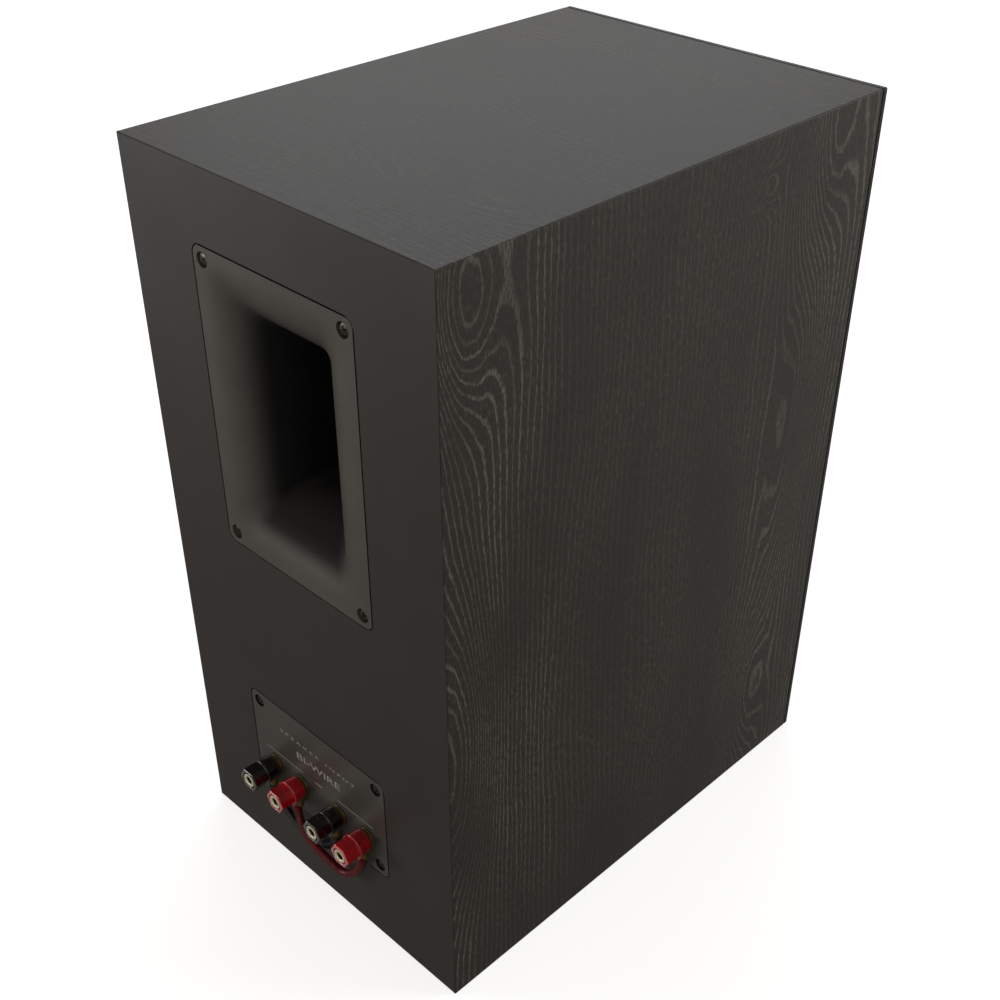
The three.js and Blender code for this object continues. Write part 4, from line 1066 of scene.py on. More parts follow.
# %% Routes and tubes
BLACK_ROUTE = [
    (37.6, 3.2, 59.5), (37.6, 3.6, 54), (35.6, 3.3, 48.5), (31.6, 3, 43.8), (26.4, 2.8, 40.2),
    (20.3, 2.7, 37.4), (13.5, 2.6, 35.4), (6.5, 2.6, 34.6), (0.5, 2.6, 35.6), (-4.6, 2.7, 38.2),
    (-9.4, 2.9, 42.4), (-13, 3.2, 47.6), (-15, 3.6, 53.6), (-15.2, 3.2, 59.5)]
RED_ROUTE = [
    (15.2, 3.2, 59.5), (15.1, 4.8, 53.8), (12.6, 5.8, 49.2), (9, 6.8, 45), (4.2, 7.4, 41.6),
    (-2.4, 7.5, 39.2), (-9, 7, 36.8), (-15, 6.2, 34.2), (-20, 5.5, 32.8), (-25.8, 5, 35),
    (-31.8, 4.8, 41.2), (-36, 4.7, 48.4), (-37.5, 4.4, 54), (-37.6, 3.2, 59.5)]
LEAD_RADIUS = 2.15 * MM


def smooth_path(points, steps=6):
    """A Catmull-Rom curve through the points."""
    points = [Vector(p) for p in points]
    padded = [2 * points[0] - points[1], *points, 2 * points[-1] - points[-2]]
    path = []
    for a, b, c, d in zip(padded, padded[1:], padded[2:], padded[3:]):
        for i in range(steps):
            t = i / steps
            path.append(0.5 * (2 * b + (c - a) * t + (2 * a - 5 * b + 4 * c - d) * t ** 2
                               + (3 * b - a - 3 * c + d) * t ** 3))
    return [*path, points[-1]]


def path_length(path):
    return sum((b - a).length for a, b in zip(path, path[1:]))


def sections(path):
    """For each point of a path, itself and two directions square to the path, which never twist."""
    last = len(path) - 1
    tangents = [(path[min(i + 1, last)] - path[max(i - 1, 0)]).normalized() for i in range(len(path))]
    across = tangents[0].orthogonal().normalized()
    for point, tangent in zip(path, tangents):
        across = (across - tangent * across.dot(tangent)).normalized()
        yield point, across, tangent.cross(across)


def tube_along(name, path, radii, sides=20):
    """A round section carried along a path; radii is one radius or one per point."""
    if not hasattr(radii, "__len__"):
        radii = [radii] * len(path)
    rings = []
    for (point, across, up), radius in zip(sections(path), radii):
        rings.append([point + radius * (cos(2 * pi * j / sides) * across + sin(2 * pi * j / sides) * up)
                      for j in range(sides)])
    return skin(name, rings)


print("jumper routes", len(BLACK_ROUTE), "and", len(RED_ROUTE), "points")

# %% [markdown]
# Each jumper is a stiff lead a little over eighty millimetres long, bowed by the room it is given, with a
# ring lug crimped on both ends and a soft boot over the crimp. The lug is a ring, a tab and a barrel that
# are joined into one, since it is stamped and rolled from one sheet.

# %% Jumpers
def lug(name, x):
    """A flat ring on the stud with a tab that runs down into a crimped barrel."""
    back_y, thick, rim = REAR + 1.2 * MM, 0.6 * MM, 6 * MM
    eye = turned(name, [(STUD_RADIUS + FIT, back_y), (rim, back_y), (rim, back_y + thick),
                        (STUD_RADIUS + FIT, back_y + thick)], x, POST_Z, steps=48)
    tab = slab("tab", 2.2 * MM, 3 * MM, 0.4 * MM, back_y, back_y + thick, x, POST_Z - 7.6 * MM, 0.1 * MM)
    barrel_path = [Vector((x, REAR + 3.3 * MM, POST_Z - z * MM)) for z in (7.9, 8.2, 12.6, 12.9)]
    barrel = tube_along("barrel", barrel_path, [2.3 * MM, 2.55 * MM, 2.55 * MM, 2.3 * MM], 24)
    return round_edges(join(eye, tab, barrel), 0.08 * MM)


def jumper(name, route, ends, material, slot, node):
    path = smooth_path([(x * MM, REAR + out * MM, z * MM) for x, out, z in route])
    lead = tube_along(name + "_lead", path, LEAD_RADIUS, 24)
    finish_piece(lead, material, slot, replaced=[node])
    for number, (x, stretch) in enumerate(zip(ends, (path, path[::-1])), 1):
        finish_piece(lug(f"{name}_lug_{number}", x), gold, "gold_plate")
        run = stretch[4:11]
        boot = tube_along(f"{name}_boot_{number}", run,
                          [2.25 * MM + 0.42 * MM * sin(pi * (0.5 - 0.5 * i / (len(run) - 1)))
                           for i in range(len(run))], 24)
        finish_piece(boot, material, slot)
    tuple(path[0])
    path_length(path)
    [tuple(p) for p in path]
    print(name, "lead", round(path_length(path), 4), "m")


cable_red = finish("red lead", paint(112, 6, 14), paint(80, 4, 9), 0.42, grain=0.5 * MM,
                   depth=0.02 * MM, patch=6 * MM, specular=0.35, dust=0.05)
cable_black = finish("black lead", paint(20, 19, 19), paint(12, 11, 12), 0.36, grain=0.5 * MM,
                     depth=0.02 * MM, patch=6 * MM, coat=0.2, dust=0.05)
jumper("black_jumper", BLACK_ROUTE, (POST_X[0], POST_X[2]), cable_black, "cable_black", "black_jumper")
jumper("red_jumper", RED_ROUTE, (POST_X[1], POST_X[3]), cable_red, "cable_red", "red_jumper")

# %% [markdown]
# The front is covered by a thin black panel that stands off the cabinet with a narrow shadow gap. It has a
# round opening for each driver. Behind it is the baffle board that the drivers are screwed to; the baffle
# comes from the CAD model and only gets its finish here.

# %% Front panel and baffle
fascia_black = finish("satin black sheet", paint(34, 33, 33), paint(26, 25, 25), 0.36, grain=0.3 * MM,
                      depth=0.012 * MM, patch=40 * MM, dust=0.25)
board_core = finish("black stained board", paint(38, 34, 30), paint(24, 22, 20), 0.8, grain=0.7 * MM,
                    depth=0.06 * MM, patch=25 * MM, dust=0.3)
WOOFER_Z, TWEETER_Z = centre("woofer_cone", "z"), centre("tweeter_dome", "z")
FASCIA_FRONT, FASCIA_BACK = low("front_fascia", "y"), high("front_fascia", "y")
WOOFER_HOLE = high("woofer_trim_ring", "x") + FIT
TWEETER_HOLE = high("tweeter_waveguide", "x") + FIT


def driver_hole(radius, z):
    back, front = FASCIA_BACK + MM, FASCIA_FRONT - MM
    return turned("hole", [(0, front), (radius, front), (radius, back), (0, back)], 0, z, steps=128)


fascia = slab("front_panel_sheet", HALF_WIDTH, HEIGHT / 2, 0.8 * MM, FASCIA_BACK, FASCIA_FRONT, 0,
              HEIGHT / 2, 0.35 * MM)
fascia = cut(fascia, driver_hole(WOOFER_HOLE, WOOFER_Z), driver_hole(TWEETER_HOLE, TWEETER_Z))
finish_piece(round_edges(fascia, 0.2 * MM), fascia_black, "fascia_black", replaced=["front_fascia"])
baffle = bpy.data.objects["front_baffle"]
baffle.data.materials.clear()
baffle.data.materials.append(board_core)
round_edges(baffle, 0.3 * MM)
print("front panel holes", WOOFER_HOLE, TWEETER_HOLE)

# %% [markdown]
# The woofer is drawn as turned profiles around its own axis, with depths counted back from the front
# panel's face. Its frame is a casting: a flange, six legs with windows between them, a shelf for the
# spider, and a floor that holds the magnet.

# %% Woofer frame and motor
cast = finish("powder coated casting", paint(44, 44, 46), paint(32, 32, 34), 0.55, metallic=0.2,
              grain=0.35 * MM, depth=0.05 * MM, patch=14 * MM, dust=0.25)
ferrite = finish("sintered ferrite", paint(62, 62, 66), paint(42, 42, 45), 0.7, grain=0.6 * MM,
                 depth=0.06 * MM, patch=12 * MM, dust=0.2)
zinc = finish("zinc plated steel", paint(158, 158, 162), paint(124, 124, 130), 0.34, metallic=0.6,
              grain=0.5 * MM, depth=0.02 * MM, patch=9 * MM, dust=0.1, marks=0.5,
              axis=(0, WOOFER_Z), pitch=0.5 * MM)


def depth(mm):
    """A driver's depth in millimetres behind the front panel's face, as a y coordinate."""
    return FASCIA_FRONT + mm * MM


def driver(name, profile, z, steps=96, closed=None):
    """A turned piece of a driver: the profile is (radius, depth) in millimetres."""
    return turned(name, [(radius * MM, depth(back)) for radius, back in profile], 0, z, steps, closed)


FLANGE, HOLE, LANDING, MOUTH, CONE = 84, 77, 73, 69.5, 60  # radii in millimetres
LEGS = 6
frame_profile = [
    (LANDING, 3.3), (LANDING + 0.3, 3), (FLANGE - 0.5, 3), (FLANGE, 3.5), (FLANGE, 10),
    (HOLE - 0.3, 10), (HOLE - 1.4, 12), (54, 43), (53, 45), (53, 52.4), (52.4, 53), (28, 53),
    (28, 50), (45, 50), (46, 49), (46, 41), (50, 41), (70.3, 11), (71, 10), (MOUTH, 10),
    (MOUTH, 7.3), (LANDING, 7.3)]
woofer_frame = driver("woofer_cast_frame", frame_profile, WOOFER_Z, 120, closed=True)
windows = []
for i in range(LEGS):
    turn = Matrix.Translation((0, 0, WOOFER_Z)) @ Matrix.Rotation((i + 0.5) * 2 * pi / LEGS, 4, "Y")
    rings = [[turn @ Vector((x, FASCIA_FRONT + y, radius)) for x, radius, y in
              outline(20 * MM, 11.5 * MM, 5 * MM, out * MM, 0, 26.5 * MM, steps=6)]
             for out in (30, 95)]
    windows.append(skin("window", rings))
woofer_frame = cut(woofer_frame, *windows)
finish_piece(round_edges(woofer_frame, 0.5 * MM), cast, "cast_frame", replaced=["woofer_basket"])

for name, node, profile, material, slot in (
        ("woofer_front_plate", "woofer_top_plate",
         [(20.5, 53.3), (51.7, 53.3), (52, 53.6), (52, 59), (51.7, 59.3), (20.5, 59.3)], zinc, "steel"),
        ("woofer_ferrite_ring", "woofer_magnet",
         [(28, 59.6), (56.8, 59.6), (58, 60.8), (58, 76.4), (56.8, 77.6), (28, 77.6)], ferrite, "ferrite"),
        ("woofer_back_plate", "woofer_yoke",
         [(5, 52.3), (17.1, 52.3), (17.6, 52.8), (17.6, 77), (18.5, 77.9), (49.4, 77.9), (50, 78.5),
          (50, 83.3), (49.4, 83.9), (6.5, 83.9), (5, 82.4)], zinc, "steel")):
    finish_piece(driver(name, profile, WOOFER_Z, closed=True), material, slot, replaced=[node])
print("woofer frame", len(woofer_frame.data.polygons), "faces")

# %% [markdown]
# The cone is woven fibre with a glossy skin. A weave is two sets of waves at right angles: where their
# product is high one thread lies on top, and where it is low the other does.

# %% Woven skin
weave, given, result = new_group(
    "weave", [("Position", VECTOR, None), ("Axis z", FLOAT, 0), ("Thread", FLOAT, 1 * MM)],
    ["Threads", "Over"])
parts = add(weave, "ShaderNodeSeparateXYZ", [(0, given["Position"])])
across = calc(weave, "DIVIDE", parts.outputs[0], given["Thread"])
from_axis = calc(weave, "SUBTRACT", parts.outputs[2], given["Axis z"])
along = calc(weave, "DIVIDE", from_axis, given["Thread"])
wave_a = calc(weave, "SINE", calc(weave, "MULTIPLY", across, 2 * pi))
wave_b = calc(weave, "SINE", calc(weave, "MULTIPLY", along, 2 * pi))
over = calc(weave, "MULTIPLY_ADD", calc(weave, "MULTIPLY", wave_a, wave_b), 0.5, 0.5)
threads = calc(weave, "MAXIMUM", calc(weave, "ABSOLUTE", wave_a), calc(weave, "ABSOLUTE", wave_b))
weave.links.new(threads, result.inputs["Threads"])
weave.links.new(over, result.inputs["Over"])


def woven(name, pale, deep, roughness, thread, relief, z):
    material, tree, shader, position = start_material(name)
    cloth = place(tree, weave, Position=position, Axis_z=z, Thread=thread)
    texture = place(tree, surface, Position=position, Grain_size=0.5 * MM, Patch_size=15 * MM)
    factor = calc(tree, "MULTIPLY", cloth["Over"], ramp(tree, texture["Patches"], 0, 1, 0.6, 1.0))
    tree.links.new(blend_colours(tree, factor, pale, deep), shader.inputs["Base Color"])
    tree.links.new(ramp(tree, cloth["Over"], 0, 1, roughness - 0.08, roughness + 0.1),
                   shader.inputs["Roughness"])
    shader.inputs["Coat Weight"].default_value = 0.25
    shader.inputs["Coat Roughness"].default_value = 0.2
    set_bump(tree, shader, cloth["Threads"], relief)
    return material


cone_skin = woven("woven cone", paint(52, 52, 54), paint(26, 26, 28), 0.38, 2.4 * MM, 0.12 * MM, WOOFER_Z)
print("group", weave.name, "with", len(weave.nodes), "nodes")

# %% [markdown]
# The cone is a deep dish, closed by a round cap that is glued on a little outside the voice coil. The coil
# is a thin former with wire wound round its end. These three move as one.

# %% Cone, cap and coil
copper = finish("copper winding", paint(172, 96, 54), paint(128, 60, 30), 0.3, metallic=0.9,
                grain=0.25 * MM, depth=0.01 * MM, patch=5 * MM, coat=0.5, dust=0.05)


def dish(radius, first, end, neck_radius, steps=16, bulge=1.0):
    """A curved cone wall, from the edge to the neck, as (radius, depth) pairs."""
    return [(radius + (neck_radius - radius) * t, first + (end - first) * t - bulge * sin(pi * t))
            for t in [i / steps for i in range(steps + 1)]]


CONE_EDGE, CONE_THICK, CONE_LAP = 7.3, 1, 2.3
outer_wall = dish(CONE, CONE_EDGE, 29.3, 19.3)
inner_wall = [(radius, back + CONE_THICK) for radius, back in outer_wall]
cone_profile = [(CONE + CONE_LAP, CONE_EDGE), *outer_wall, *inner_wall[::-1],
                (CONE + CONE_LAP, CONE_EDGE + CONE_THICK)]
cone = driver("woofer_cone_dish", cone_profile, WOOFER_Z, 128, closed=True)
finish_piece(cone, cone_skin, "cone_skin", "woofer_moving", ["woofer_cone"])


def cap_profile(radius, edge, rise, thick, steps=14):
    """A thin spherical cap: its outer face, then its inner face."""
    ball = (radius * radius + rise * rise) / (2 * rise)
    face = []
    for i in range(steps + 1):
        r = radius * i / steps
        face.append((r, edge - rise + ball - sqrt(ball * ball - r * r)))
    back = [(r * (1 - thick / radius), y + thick) for r, y in face]
    return face + back[::-1]


CAP_THICK = 0.9
cap_edge = (high("woofer_dust_cap", "y") - FASCIA_FRONT) / MM - 1.0
cap_front = (low("woofer_dust_cap", "y") - FASCIA_FRONT) / MM
cap = driver("woofer_round_cap", cap_profile(23.5, cap_edge, cap_edge - cap_front, CAP_THICK), WOOFER_Z)
finish_piece(cap, cone_skin, "cone_skin", "woofer_moving", ["woofer_dust_cap"])

BORE, FORMER, WOUND = 18.4, 19, 19.8
wound_from, wound_to, wire = 49, 62, 0.5
coil_profile = [(BORE, 27.3), (FORMER, 27.3), (FORMER, wound_from - 0.05)]
back = wound_from
while back < wound_to - wire / 2:
    coil_profile += [(WOUND - 0.25, back), (WOUND, back + wire * 0.3), (WOUND, back + wire * 0.7)]
    back += wire
coil_profile += [(WOUND - 0.25, wound_to), (BORE, wound_to)]
coil = driver("woofer_wound_coil", coil_profile, WOOFER_Z, 72, closed=True)
finish_piece(coil, copper, "copper_wire", "woofer_moving", ["woofer_voice_coil"])
print("cap from", cap_front, "to", cap_edge)

# %% [markdown]
# The surround and the spider are fixed at their outer edge and move with the cone at their inner edge.
# The share of the cone's travel that each point follows is worked out from its radius, because both bend
# evenly from rim to centre.

# %% Surround and spider
rubber = finish("matt rubber", paint(34, 33, 33), paint(24, 24, 24), 0.62, grain=0.3 * MM,
                depth=0.02 * MM, patch=10 * MM, dust=0.35)
spider_cloth = woven("resin dipped cloth", paint(196, 150, 86), paint(150, 104, 52), 0.8, 0.9 * MM,
                     0.06 * MM, WOOFER_Z)


def bend_by_radius(piece, moving, z, inner, outer):
    """Point weights for a ring that is fixed at its outer radius and moves with its inner one."""
    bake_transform(piece, "root", moving, start=(0, 0, z + outer * MM), end=(0, 0, z + inner * MM))
    weights = piece.data.attributes["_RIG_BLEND"].data
    for vertex, weight in zip(piece.data.vertices, weights):
        radius = hypot(vertex.co.x, vertex.co.z - z) / MM
        t = min(max((outer - radius) / (outer - inner), 0), 1)
        weight.value = t * t * (3 - 2 * t)
    print(piece.name, "bends from", outer, "to", inner, "mm")


def soft_ring(name, faces, z, material, slot, node, moving, inner, outer, steps=128):
    piece = driver(name, faces, z, steps, closed=True)
    finish_piece(piece, material, slot, None, [node])
    bend_by_radius(piece, moving, z, inner, outer)


ROLL_AT, ROLL, ROLL_THICK = 65.25, 5.5, 1


def half_roll(at, size, foot, steps=20):
    """A half circle from the inner foot over to the outer one, as (radius, depth) pairs."""
    return [(at - size * cos(pi * i / steps), foot - size * sin(pi * i / steps))
            for i in range(steps + 1)]


surround_face = [(CONE - 2.5, 6), *half_roll(ROLL_AT, ROLL, 6.4), (LANDING - 0.3, 6),
                 (LANDING - 0.3, 7), *half_roll(ROLL_AT, ROLL - ROLL_THICK, 6.9)[::-1], (CONE - 2.5, 7)]
soft_ring("woofer_rubber_surround", surround_face, WOOFER_Z, rubber, "soft_rubber", "woofer_surround",
          "woofer_moving", CONE + 0.5, 70)

SPIDER_IN, SPIDER_OUT, SPIDER_DEPTH, SPIDER_THICK = 19.4, 49.5, 40, 0.7
RIPPLES, RIPPLE_HEIGHT, RIPPLE_FROM, RIPPLE_TO = 4.5, 1.4, 24, 44


def ripple(radius):
    share = (radius - RIPPLE_FROM) / (RIPPLE_TO - RIPPLE_FROM)
    return SPIDER_DEPTH - (RIPPLE_HEIGHT * abs(sin(pi * RIPPLES * share)) if 0 < share < 1 else 0)


radii = [SPIDER_IN + (SPIDER_OUT - SPIDER_IN) * i / 90 for i in range(91)]
spider_face = [(r, ripple(r)) for r in radii] + [(r, ripple(r) + SPIDER_THICK) for r in radii[::-1]]
soft_ring("woofer_cloth_spider", spider_face, WOOFER_Z, spider_cloth, "spider_cloth", "woofer_spider",
          "woofer_moving", 22, 45)

trim = driver("woofer_trim", [(71.5, 2.3), (71.6, 2.0), (73.6, -0.7), (74.1, -0.95), (74.6, -1),
                              (84.6, -1), (85.4, -0.8), (85.85, -0.35), (86, 0.2), (86, 2.3)],
              WOOFER_Z, 128, closed=True)
finish_piece(trim, fascia_black, "fascia_black", replaced=["woofer_trim_ring"])

# %% [markdown]
# The tweeter sits in a round plate whose face runs into a shallow horn. The soft dome, its small half-roll
# surround and the coil are at the bottom of the horn. The magnet is behind the plate.

# %% Tweeter
dome_cloth = woven("coated dome cloth", paint(46, 44, 44), paint(26, 25, 25), 0.5, 0.5 * MM, 0.02 * MM,
                   TWEETER_Z)
MOUTH_RADIUS, THROAT_RADIUS, THROAT_DEPTH = 58, 16.2, 15.5
bell = [(MOUTH_RADIUS - (MOUTH_RADIUS - THROAT_RADIUS) * t, THROAT_DEPTH * t ** 1.5)
        for t in [i / 24 for i in range(25)]]
horn = driver("tweeter_horn_plate", [
    (66, 2.3), (66, 0.35), (65.8, 0.1), (65.4, 0), *bell, (THROAT_RADIUS, 17.5), (33.6, 17.5), (34, 17.1),
    (34, 11.5), (53, 5), (53, 2.3)], TWEETER_Z, 128, closed=True)
finish_piece(horn, fascia_black, "fascia_black", replaced=["tweeter_waveguide"])

small_roll = [(12.5, 17.9), *half_roll(14.2, 1.5, 17.9, 12), (16, 17.8), (22, 17.8), (22, 18.4),
              *half_roll(14.2, 0.9, 18.2, 12)[::-1], (12.5, 18.4)]
soft_ring("tweeter_soft_surround", small_roll, TWEETER_Z, rubber, "soft_rubber", "tweeter_surround",
          "tweeter_moving", 12.6, 15.8, 96)
for name, node, profile, material, slot, body in (
        ("tweeter_soft_dome", "tweeter_dome", cap_profile(12.4, 17.2, 5.6, 0.5), dome_cloth,
         "cone_skin", "tweeter_moving"),
        ("tweeter_wound_coil", "tweeter_voice_coil",
         [(12, 17.8), (12.2, 17.8), (12.2, 20), (12.4, 20.1), (12.4, 22.7), (12, 22.8)], copper,
         "copper_wire", "tweeter_moving"),
        ("tweeter_front_plate", "tweeter_top_plate",
         [(12.9, 18.7), (29.8, 18.7), (30, 18.9), (30, 21), (29.8, 21.2), (12.9, 21.2)], zinc,
         "steel", "root"),
        ("tweeter_ferrite_ring", "tweeter_magnet",
         [(17, 21.5), (31.2, 21.5), (32, 22.3), (32, 30.7), (31.2, 31.5), (17, 31.5)], ferrite,
         "ferrite", "root"),
        ("tweeter_back_plate", "tweeter_yoke",
         [(0, 18.7), (11.2, 18.7), (11.5, 19), (11.5, 31.8), (29.6, 31.8), (30, 32.2), (30, 35.4),
          (29.6, 35.8), (0, 35.8)], zinc, "steel", "root")):
    piece = driver(name, profile, TWEETER_Z, 96)
    finish_piece(piece, material, slot, body, [node])
print("tweeter at z", TWEETER_Z)

# %% [markdown]
# The crossover is a green board on the cabinet's floor with two air coils and two film capacitors. The
# coils are bare windings, so their sides show every turn of wire. The capacitors have crimped ends.

# %% Crossover
laminate, tree, shader, position = start_material("green laminate")
texture = place(tree, surface, Position=position, Grain_size=0.4 * MM, Patch_size=12 * MM)
parts = add(tree, "ShaderNodeSeparateXYZ", [(0, position)])


def lane(axis, pitch):
    """1 on broad strips across one axis, and 0 on the narrow lines between them."""
    along = calc(tree, "FRACT", calc(tree, "DIVIDE", parts.outputs[axis], pitch))
    return ramp(tree, calc(tree, "ABSOLUTE", calc(tree, "SUBTRACT", along, 0.5)), 0.1, 0.16)


copper_under = calc(tree, "MULTIPLY", calc(tree, "MULTIPLY", lane(0, 17 * MM), lane(1, 13 * MM)), 0.7)
colour = blend_colours(tree, texture["Patches"], paint(26, 84, 44), paint(18, 66, 36))
tree.links.new(blend_colours(tree, copper_under, colour, paint(52, 122, 60)), shader.inputs["Base Color"])
tree.links.new(ramp(tree, texture["Grain"], 0, 1, 0.34, 0.5), shader.inputs["Roughness"])
set_bump(tree, shader, copper_under, 0.05 * MM)
sleeve = finish("capacitor sleeve", paint(52, 70, 122), paint(36, 50, 98), 0.32, grain=0.5 * MM,
                depth=0.02 * MM, patch=8 * MM, coat=0.3, dust=0.15)

(x0, y0, z0), (x1, y1, z1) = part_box("crossover_board")
board_points = [(x, y, z) for x in (x0, x1) for y in (y0, y1) for z in (z0, z1)]
board = mesh_piece("crossover_laminate", board_points, [
    (0, 1, 3, 2), (4, 6, 7, 5), (0, 4, 5, 1), (2, 3, 7, 6), (0, 2, 6, 4), (1, 5, 7, 3)])
finish_piece(round_edges(board, 0.2 * MM), laminate, "circuit_board", replaced=["crossover_board"])

for name, node, inner in (("woofer_air_coil", "crossover_woofer_coil", 9 * MM),
                          ("tweeter_air_coil", "crossover_tweeter_coil", 6 * MM)):
    outer, bottom, top, wire = radius_of(node), low(node, "z"), high(node, "z"), 1 * MM
    profile = [(inner, 0)]
    for i in range(int(round((top - bottom) / wire))):
        profile += [(outer - 0.3 * wire, i * wire), (outer, (i + 0.3) * wire), (outer, (i + 0.7) * wire)]
    profile += [(outer - 0.3 * wire, top - bottom), (inner, top - bottom)]
    winding = turned(name, profile, 0, 0, 64, closed=True)
    winding.data.transform(Matrix.Translation((centre(node, "x"), centre(node, "y"), bottom))
                           @ Matrix.Rotation(pi / 2, 4, "X") @ Matrix.Scale(-1, 4, (0, 0, 1)))
    winding.data.update()
    finish_piece(winding, copper, "copper_wire", replaced=[node])

for number in (1, 2):
    node = f"crossover_capacitor_{number}"
    radius = (high(node, "z") - low(node, "z")) / 2
    length = high(node, "x") - low(node, "x")
    profile = [(0, 0.8 * MM), (radius * 0.75, 0.8 * MM), (radius * 0.8, 0), (radius - 0.5 * MM, 0),
               (radius, 0.5 * MM), (radius, 2 * MM), (radius - 0.3 * MM, 2.5 * MM), (radius, 3 * MM),
               (radius, length - 0.5 * MM), (radius - 0.5 * MM, length), (radius * 0.8, length),
               (radius * 0.75, length - 0.8 * MM), (0, length - 0.8 * MM)]
    can = turned(f"film_capacitor_{number}", profile, 0, 0, 48)
    can.data.transform(Matrix.Translation((low(node, "x"), centre(node, "y"), centre(node, "z")))
                       @ Matrix.Rotation(-pi / 2, 4, "Z"))
    finish_piece(can, sleeve, "capacitor_sleeve", replaced=[node])

# %% [markdown]
# A twin lead runs from the board to each driver: two insulated wires twisted together. Each wire is a round
# section along the shared route, offset from it and turned once every twelve millimetres.

# %% Leads inside
WOOFER_LEAD_ROUTE = [
    (40, 18, 19.4), (40, 8, 19), (40.5, -4, 17.3), (41, -30, 17), (42, -66, 17), (42.5, -86, 20),
    (42, -96, 32), (40, -100, 48), (36.6, -101, 61), (32.8, -101.3, 69.2)]
TWEETER_LEAD_ROUTE = [
    (-45, 18, 19.4), (-54, 13, 19), (-68, 5, 17.4), (-77.5, 1, 20), (-82, -3, 30), (-83, -10, 70),
    (-83, -20, 130), (-83, -34, 190), (-81.5, -52, 240), (-73, -76, 275), (-56, -97, 290),
    (-43, -111, 295), (-33.8, -117, 296)]
WIRE_RADIUS, TWIST = 0.78 * MM, 12 * MM


def evenly(path, gap):
    """The same path with points a fixed distance apart."""
    points, left = [path[0]], gap
    for a, b in zip(path, path[1:]):
        span = (b - a).length
        while left <= span:
            points.append(a.lerp(b, left / span))
            left += gap
        left -= span
    return points if (points[-1] - path[-1]).length < gap / 3 else [*points, path[-1]]


def twin_lead(name, route, node):
    path = evenly(smooth_path([[part * MM for part in point] for point in route], 10), 1 * MM)
    travelled, wires = 0, ([], [])
    for i, (point, across, up) in enumerate(sections(path)):
        angle = 2 * pi * travelled / TWIST
        offset = WIRE_RADIUS * (cos(angle) * across + sin(angle) * up)
        wires[0].append(point + offset)
        wires[1].append(point - offset)
        travelled += (path[i + 1] - point).length if i + 1 < len(path) else 0
    lead, other = [tube_along(name, wire, WIRE_RADIUS * 0.98, 10) for wire in wires]
    both = bmesh.new()
    both.from_mesh(lead.data)
    both.from_mesh(other.data)
    both.to_mesh(lead.data)
    both.free()
    bpy.data.objects.remove(other)
    finish_piece(lead, cable_black, "cable_black", replaced=[node])
    tuple(path[0])
    path_length(path)
    [tuple(p) for p in path]
    print(name, round(path_length(path), 4), "m")


twin_lead("woofer_twin_lead", WOOFER_LEAD_ROUTE, "woofer_lead")
twin_lead("tweeter_twin_lead", TWEETER_LEAD_ROUTE, "tweeter_lead")

# %% [markdown]
# The speaker stands on a plain pale floor in a white room. To the camera both look white, but they give
# little light back, so the upright faces stay dark. What the glossy finishes mirror of the floor gets
# dimmer towards the back, and the room gets dimmer overhead. A Light Path node tells these rays apart.

# %% Floor and surroundings
def light_split(tree, seen, unseen, output):
    """One shader for what the camera sees directly and another for all other light."""
    mix = add(tree, "ShaderNodeMixShader")
    path = add(tree, "ShaderNodeLightPath")
    tree.links.new(path.outputs["Is Camera Ray"], mix.inputs[0])
    tree.links.new(unseen, mix.inputs[1])
    tree.links.new(seen, mix.inputs[2])
    tree.links.new(mix.outputs[0], output.inputs["Surface"])


REACH, BELOW = 4, -0.5 * MM
corners = [(x * REACH, y * REACH, BELOW) for x, y in ((-1, -1), (1, -1), (1, 1), (-1, 1))]
floor = mesh_piece("studio_floor", corners, [(0, 1, 2, 3)])
floor_paper = bpy.data.materials.new("floor paper")
floor_paper.use_nodes = True
tree = floor_paper.node_tree
tree.nodes.clear()
position = add(tree, "ShaderNodeNewGeometry").outputs["Position"]
texture = place(tree, surface, Position=position, Grain_size=2 * MM, Patch_size=0.4)
pale = blend_colours(tree, texture["Patches"], paint(250, 250, 250), paint(244, 244, 244))
matt = add(tree, "ShaderNodeBsdfDiffuse")
glow = add(tree, "ShaderNodeEmission")
tree.links.new(pale, matt.inputs["Color"])
glow.inputs["Color"].default_value = (1, 1, 1, 1)
glow.inputs["Strength"].default_value = 0.72
both = add(tree, "ShaderNodeAddShader", [(0, matt.outputs[0]), (1, glow.outputs[0])])
dark = add(tree, "ShaderNodeBsdfDiffuse")
dark.inputs["Color"].default_value = (0.13, 0.13, 0.13, 1)
sheen = add(tree, "ShaderNodeEmission")
toward_back = add(tree, "ShaderNodeSeparateXYZ", [(0, position)]).outputs[1]
tree.links.new(blend_colours(tree, ramp(tree, toward_back, -0.5, 0.12), (1.0, 0.96, 0.92, 1),
                             (0.46, 0.44, 0.42, 1)), sheen.inputs["Color"])
sheen.inputs["Strength"].default_value = 0.33
mirrored = add(tree, "ShaderNodeMixShader", [
    (0, add(tree, "ShaderNodeLightPath").outputs["Is Glossy Ray"]), (1, dark.outputs[0]),
    (2, sheen.outputs[0])])
light_split(tree, both.outputs[0], mirrored.outputs[0], add(tree, "ShaderNodeOutputMaterial"))
floor.data.materials.append(floor_paper)
print("floor at", BELOW)

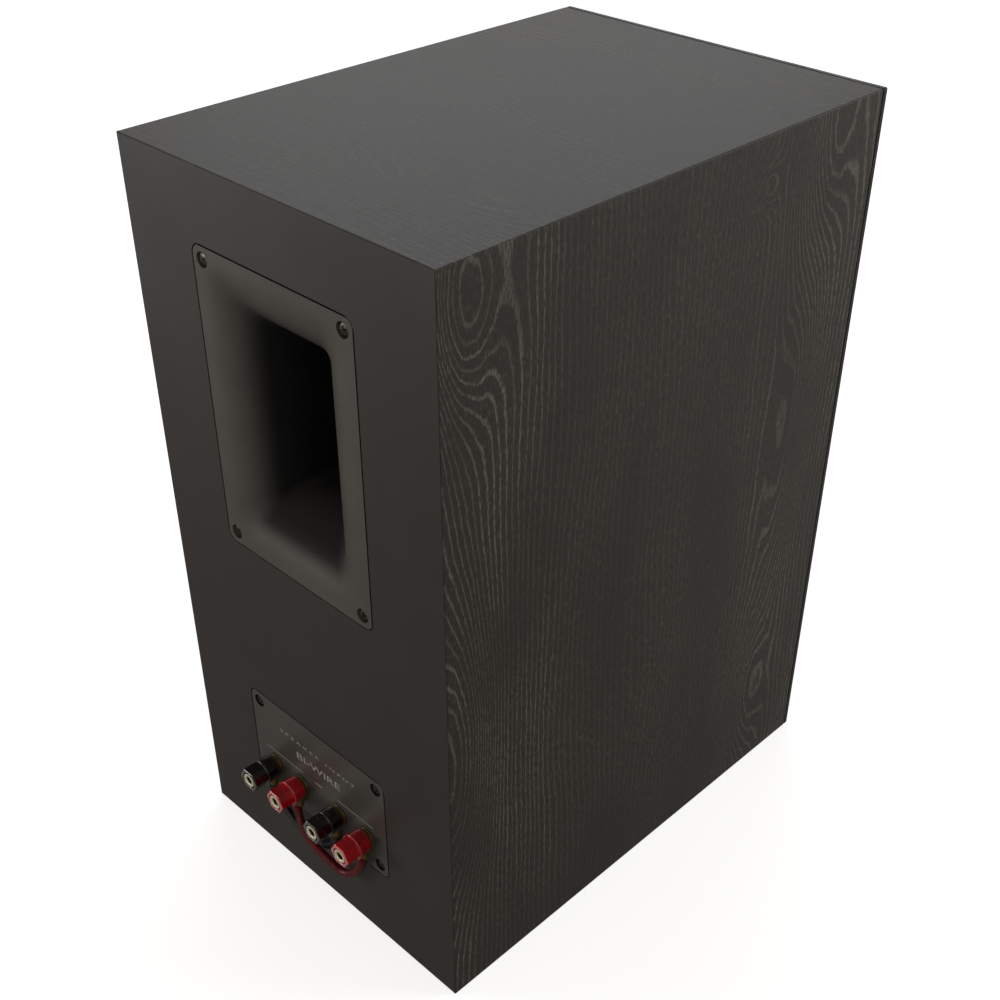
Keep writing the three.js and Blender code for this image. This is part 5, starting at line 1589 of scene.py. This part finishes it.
room = bpy.data.worlds.new("studio")
bpy.context.scene.world = room
room.use_nodes = True
tree = room.node_tree
tree.nodes.clear()
seen = add(tree, "ShaderNodeBackground")
seen.inputs["Color"].default_value = (1, 1, 1, 1)
seen.inputs["Strength"].default_value = 1.0
around = add(tree, "ShaderNodeBackground")
direction = add(tree, "ShaderNodeTexCoord").outputs["Generated"]
rise = add(tree, "ShaderNodeSeparateXYZ", [(0, direction)]).outputs[2]
tree.links.new(blend_colours(tree, ramp(tree, rise, 0.05, 0.6), (0.56, 0.52, 0.48, 1),
                             (0.22, 0.21, 0.20, 1)), around.inputs["Color"])
around.inputs["Strength"].default_value = 1.0
light_split(tree, seen.outputs[0], around.outputs[0], add(tree, "ShaderNodeOutputWorld"))

# %% [markdown]
# Four soft lights. The large one hangs over the front and lays a broad sheen on the top board. Two small
# ones stand low behind the speaker, and pick out rounded lips, knobs and screw heads. The last one fills
# the right side and the front. The camera stands behind the speaker, above its left corner as seen from
# there, and shifts its lens a little to centre the view.

# %% Lights and camera
def softbox(name, place_at, aim, size, power, colour=(1, 1, 1)):
    lamp = bpy.data.lights.new(name, "AREA")
    lamp.shape, lamp.size, lamp.energy, lamp.color = "SQUARE", size, power, colour
    light = bpy.data.objects.new(name, lamp)
    bpy.context.scene.collection.objects.link(light)
    turn = (Vector(aim) - Vector(place_at)).to_track_quat("-Z", "Y")
    light.matrix_world = Matrix.Translation(place_at) @ turn.to_matrix().to_4x4()


TARGET = (0, 0.1, 0.2)
softbox("front softbox", (0.86, -0.87, 1.35), (0, 0, 0.4), 1.3, 4.7, (0.88, 0.94, 1.0))
softbox("low side softbox", (1.05, 1.1, 0.26), TARGET, 0.5, 4)
softbox("low fill", (-0.5, 1.6, 0.32), TARGET, 0.6, 2.5)
softbox("left fill", (-1.6, -1.5, 0.9), TARGET, 0.9, 11)

camera = bpy.data.cameras.new("camera")
camera.sensor_width, camera.lens = 36, 50.38
camera.shift_x, camera.shift_y = -0.00421, 0.03846
camera.clip_start = 0.01
viewer = bpy.data.objects.new("camera", camera)
bpy.context.scene.collection.objects.link(viewer)
STANDS_AT = Vector((-0.435554, 0.446086, 0.604232))
RIGHT = Vector((-0.70962591, -0.70457436, 0.00245622))
DOWN = Vector((-0.40754227, 0.40761548, -0.81716517))
AHEAD = Vector((0.57475244, -0.58088259, -0.57639834))
turn = Matrix((RIGHT, -DOWN, -AHEAD)).transposed().to_4x4()
viewer.matrix_world = Matrix.Translation(STANDS_AT) @ turn
bpy.context.scene.camera = viewer
bpy.context.scene.view_settings.view_transform = "Standard"
print("camera at", STANDS_AT, "with", len(bpy.data.lights), "lights")
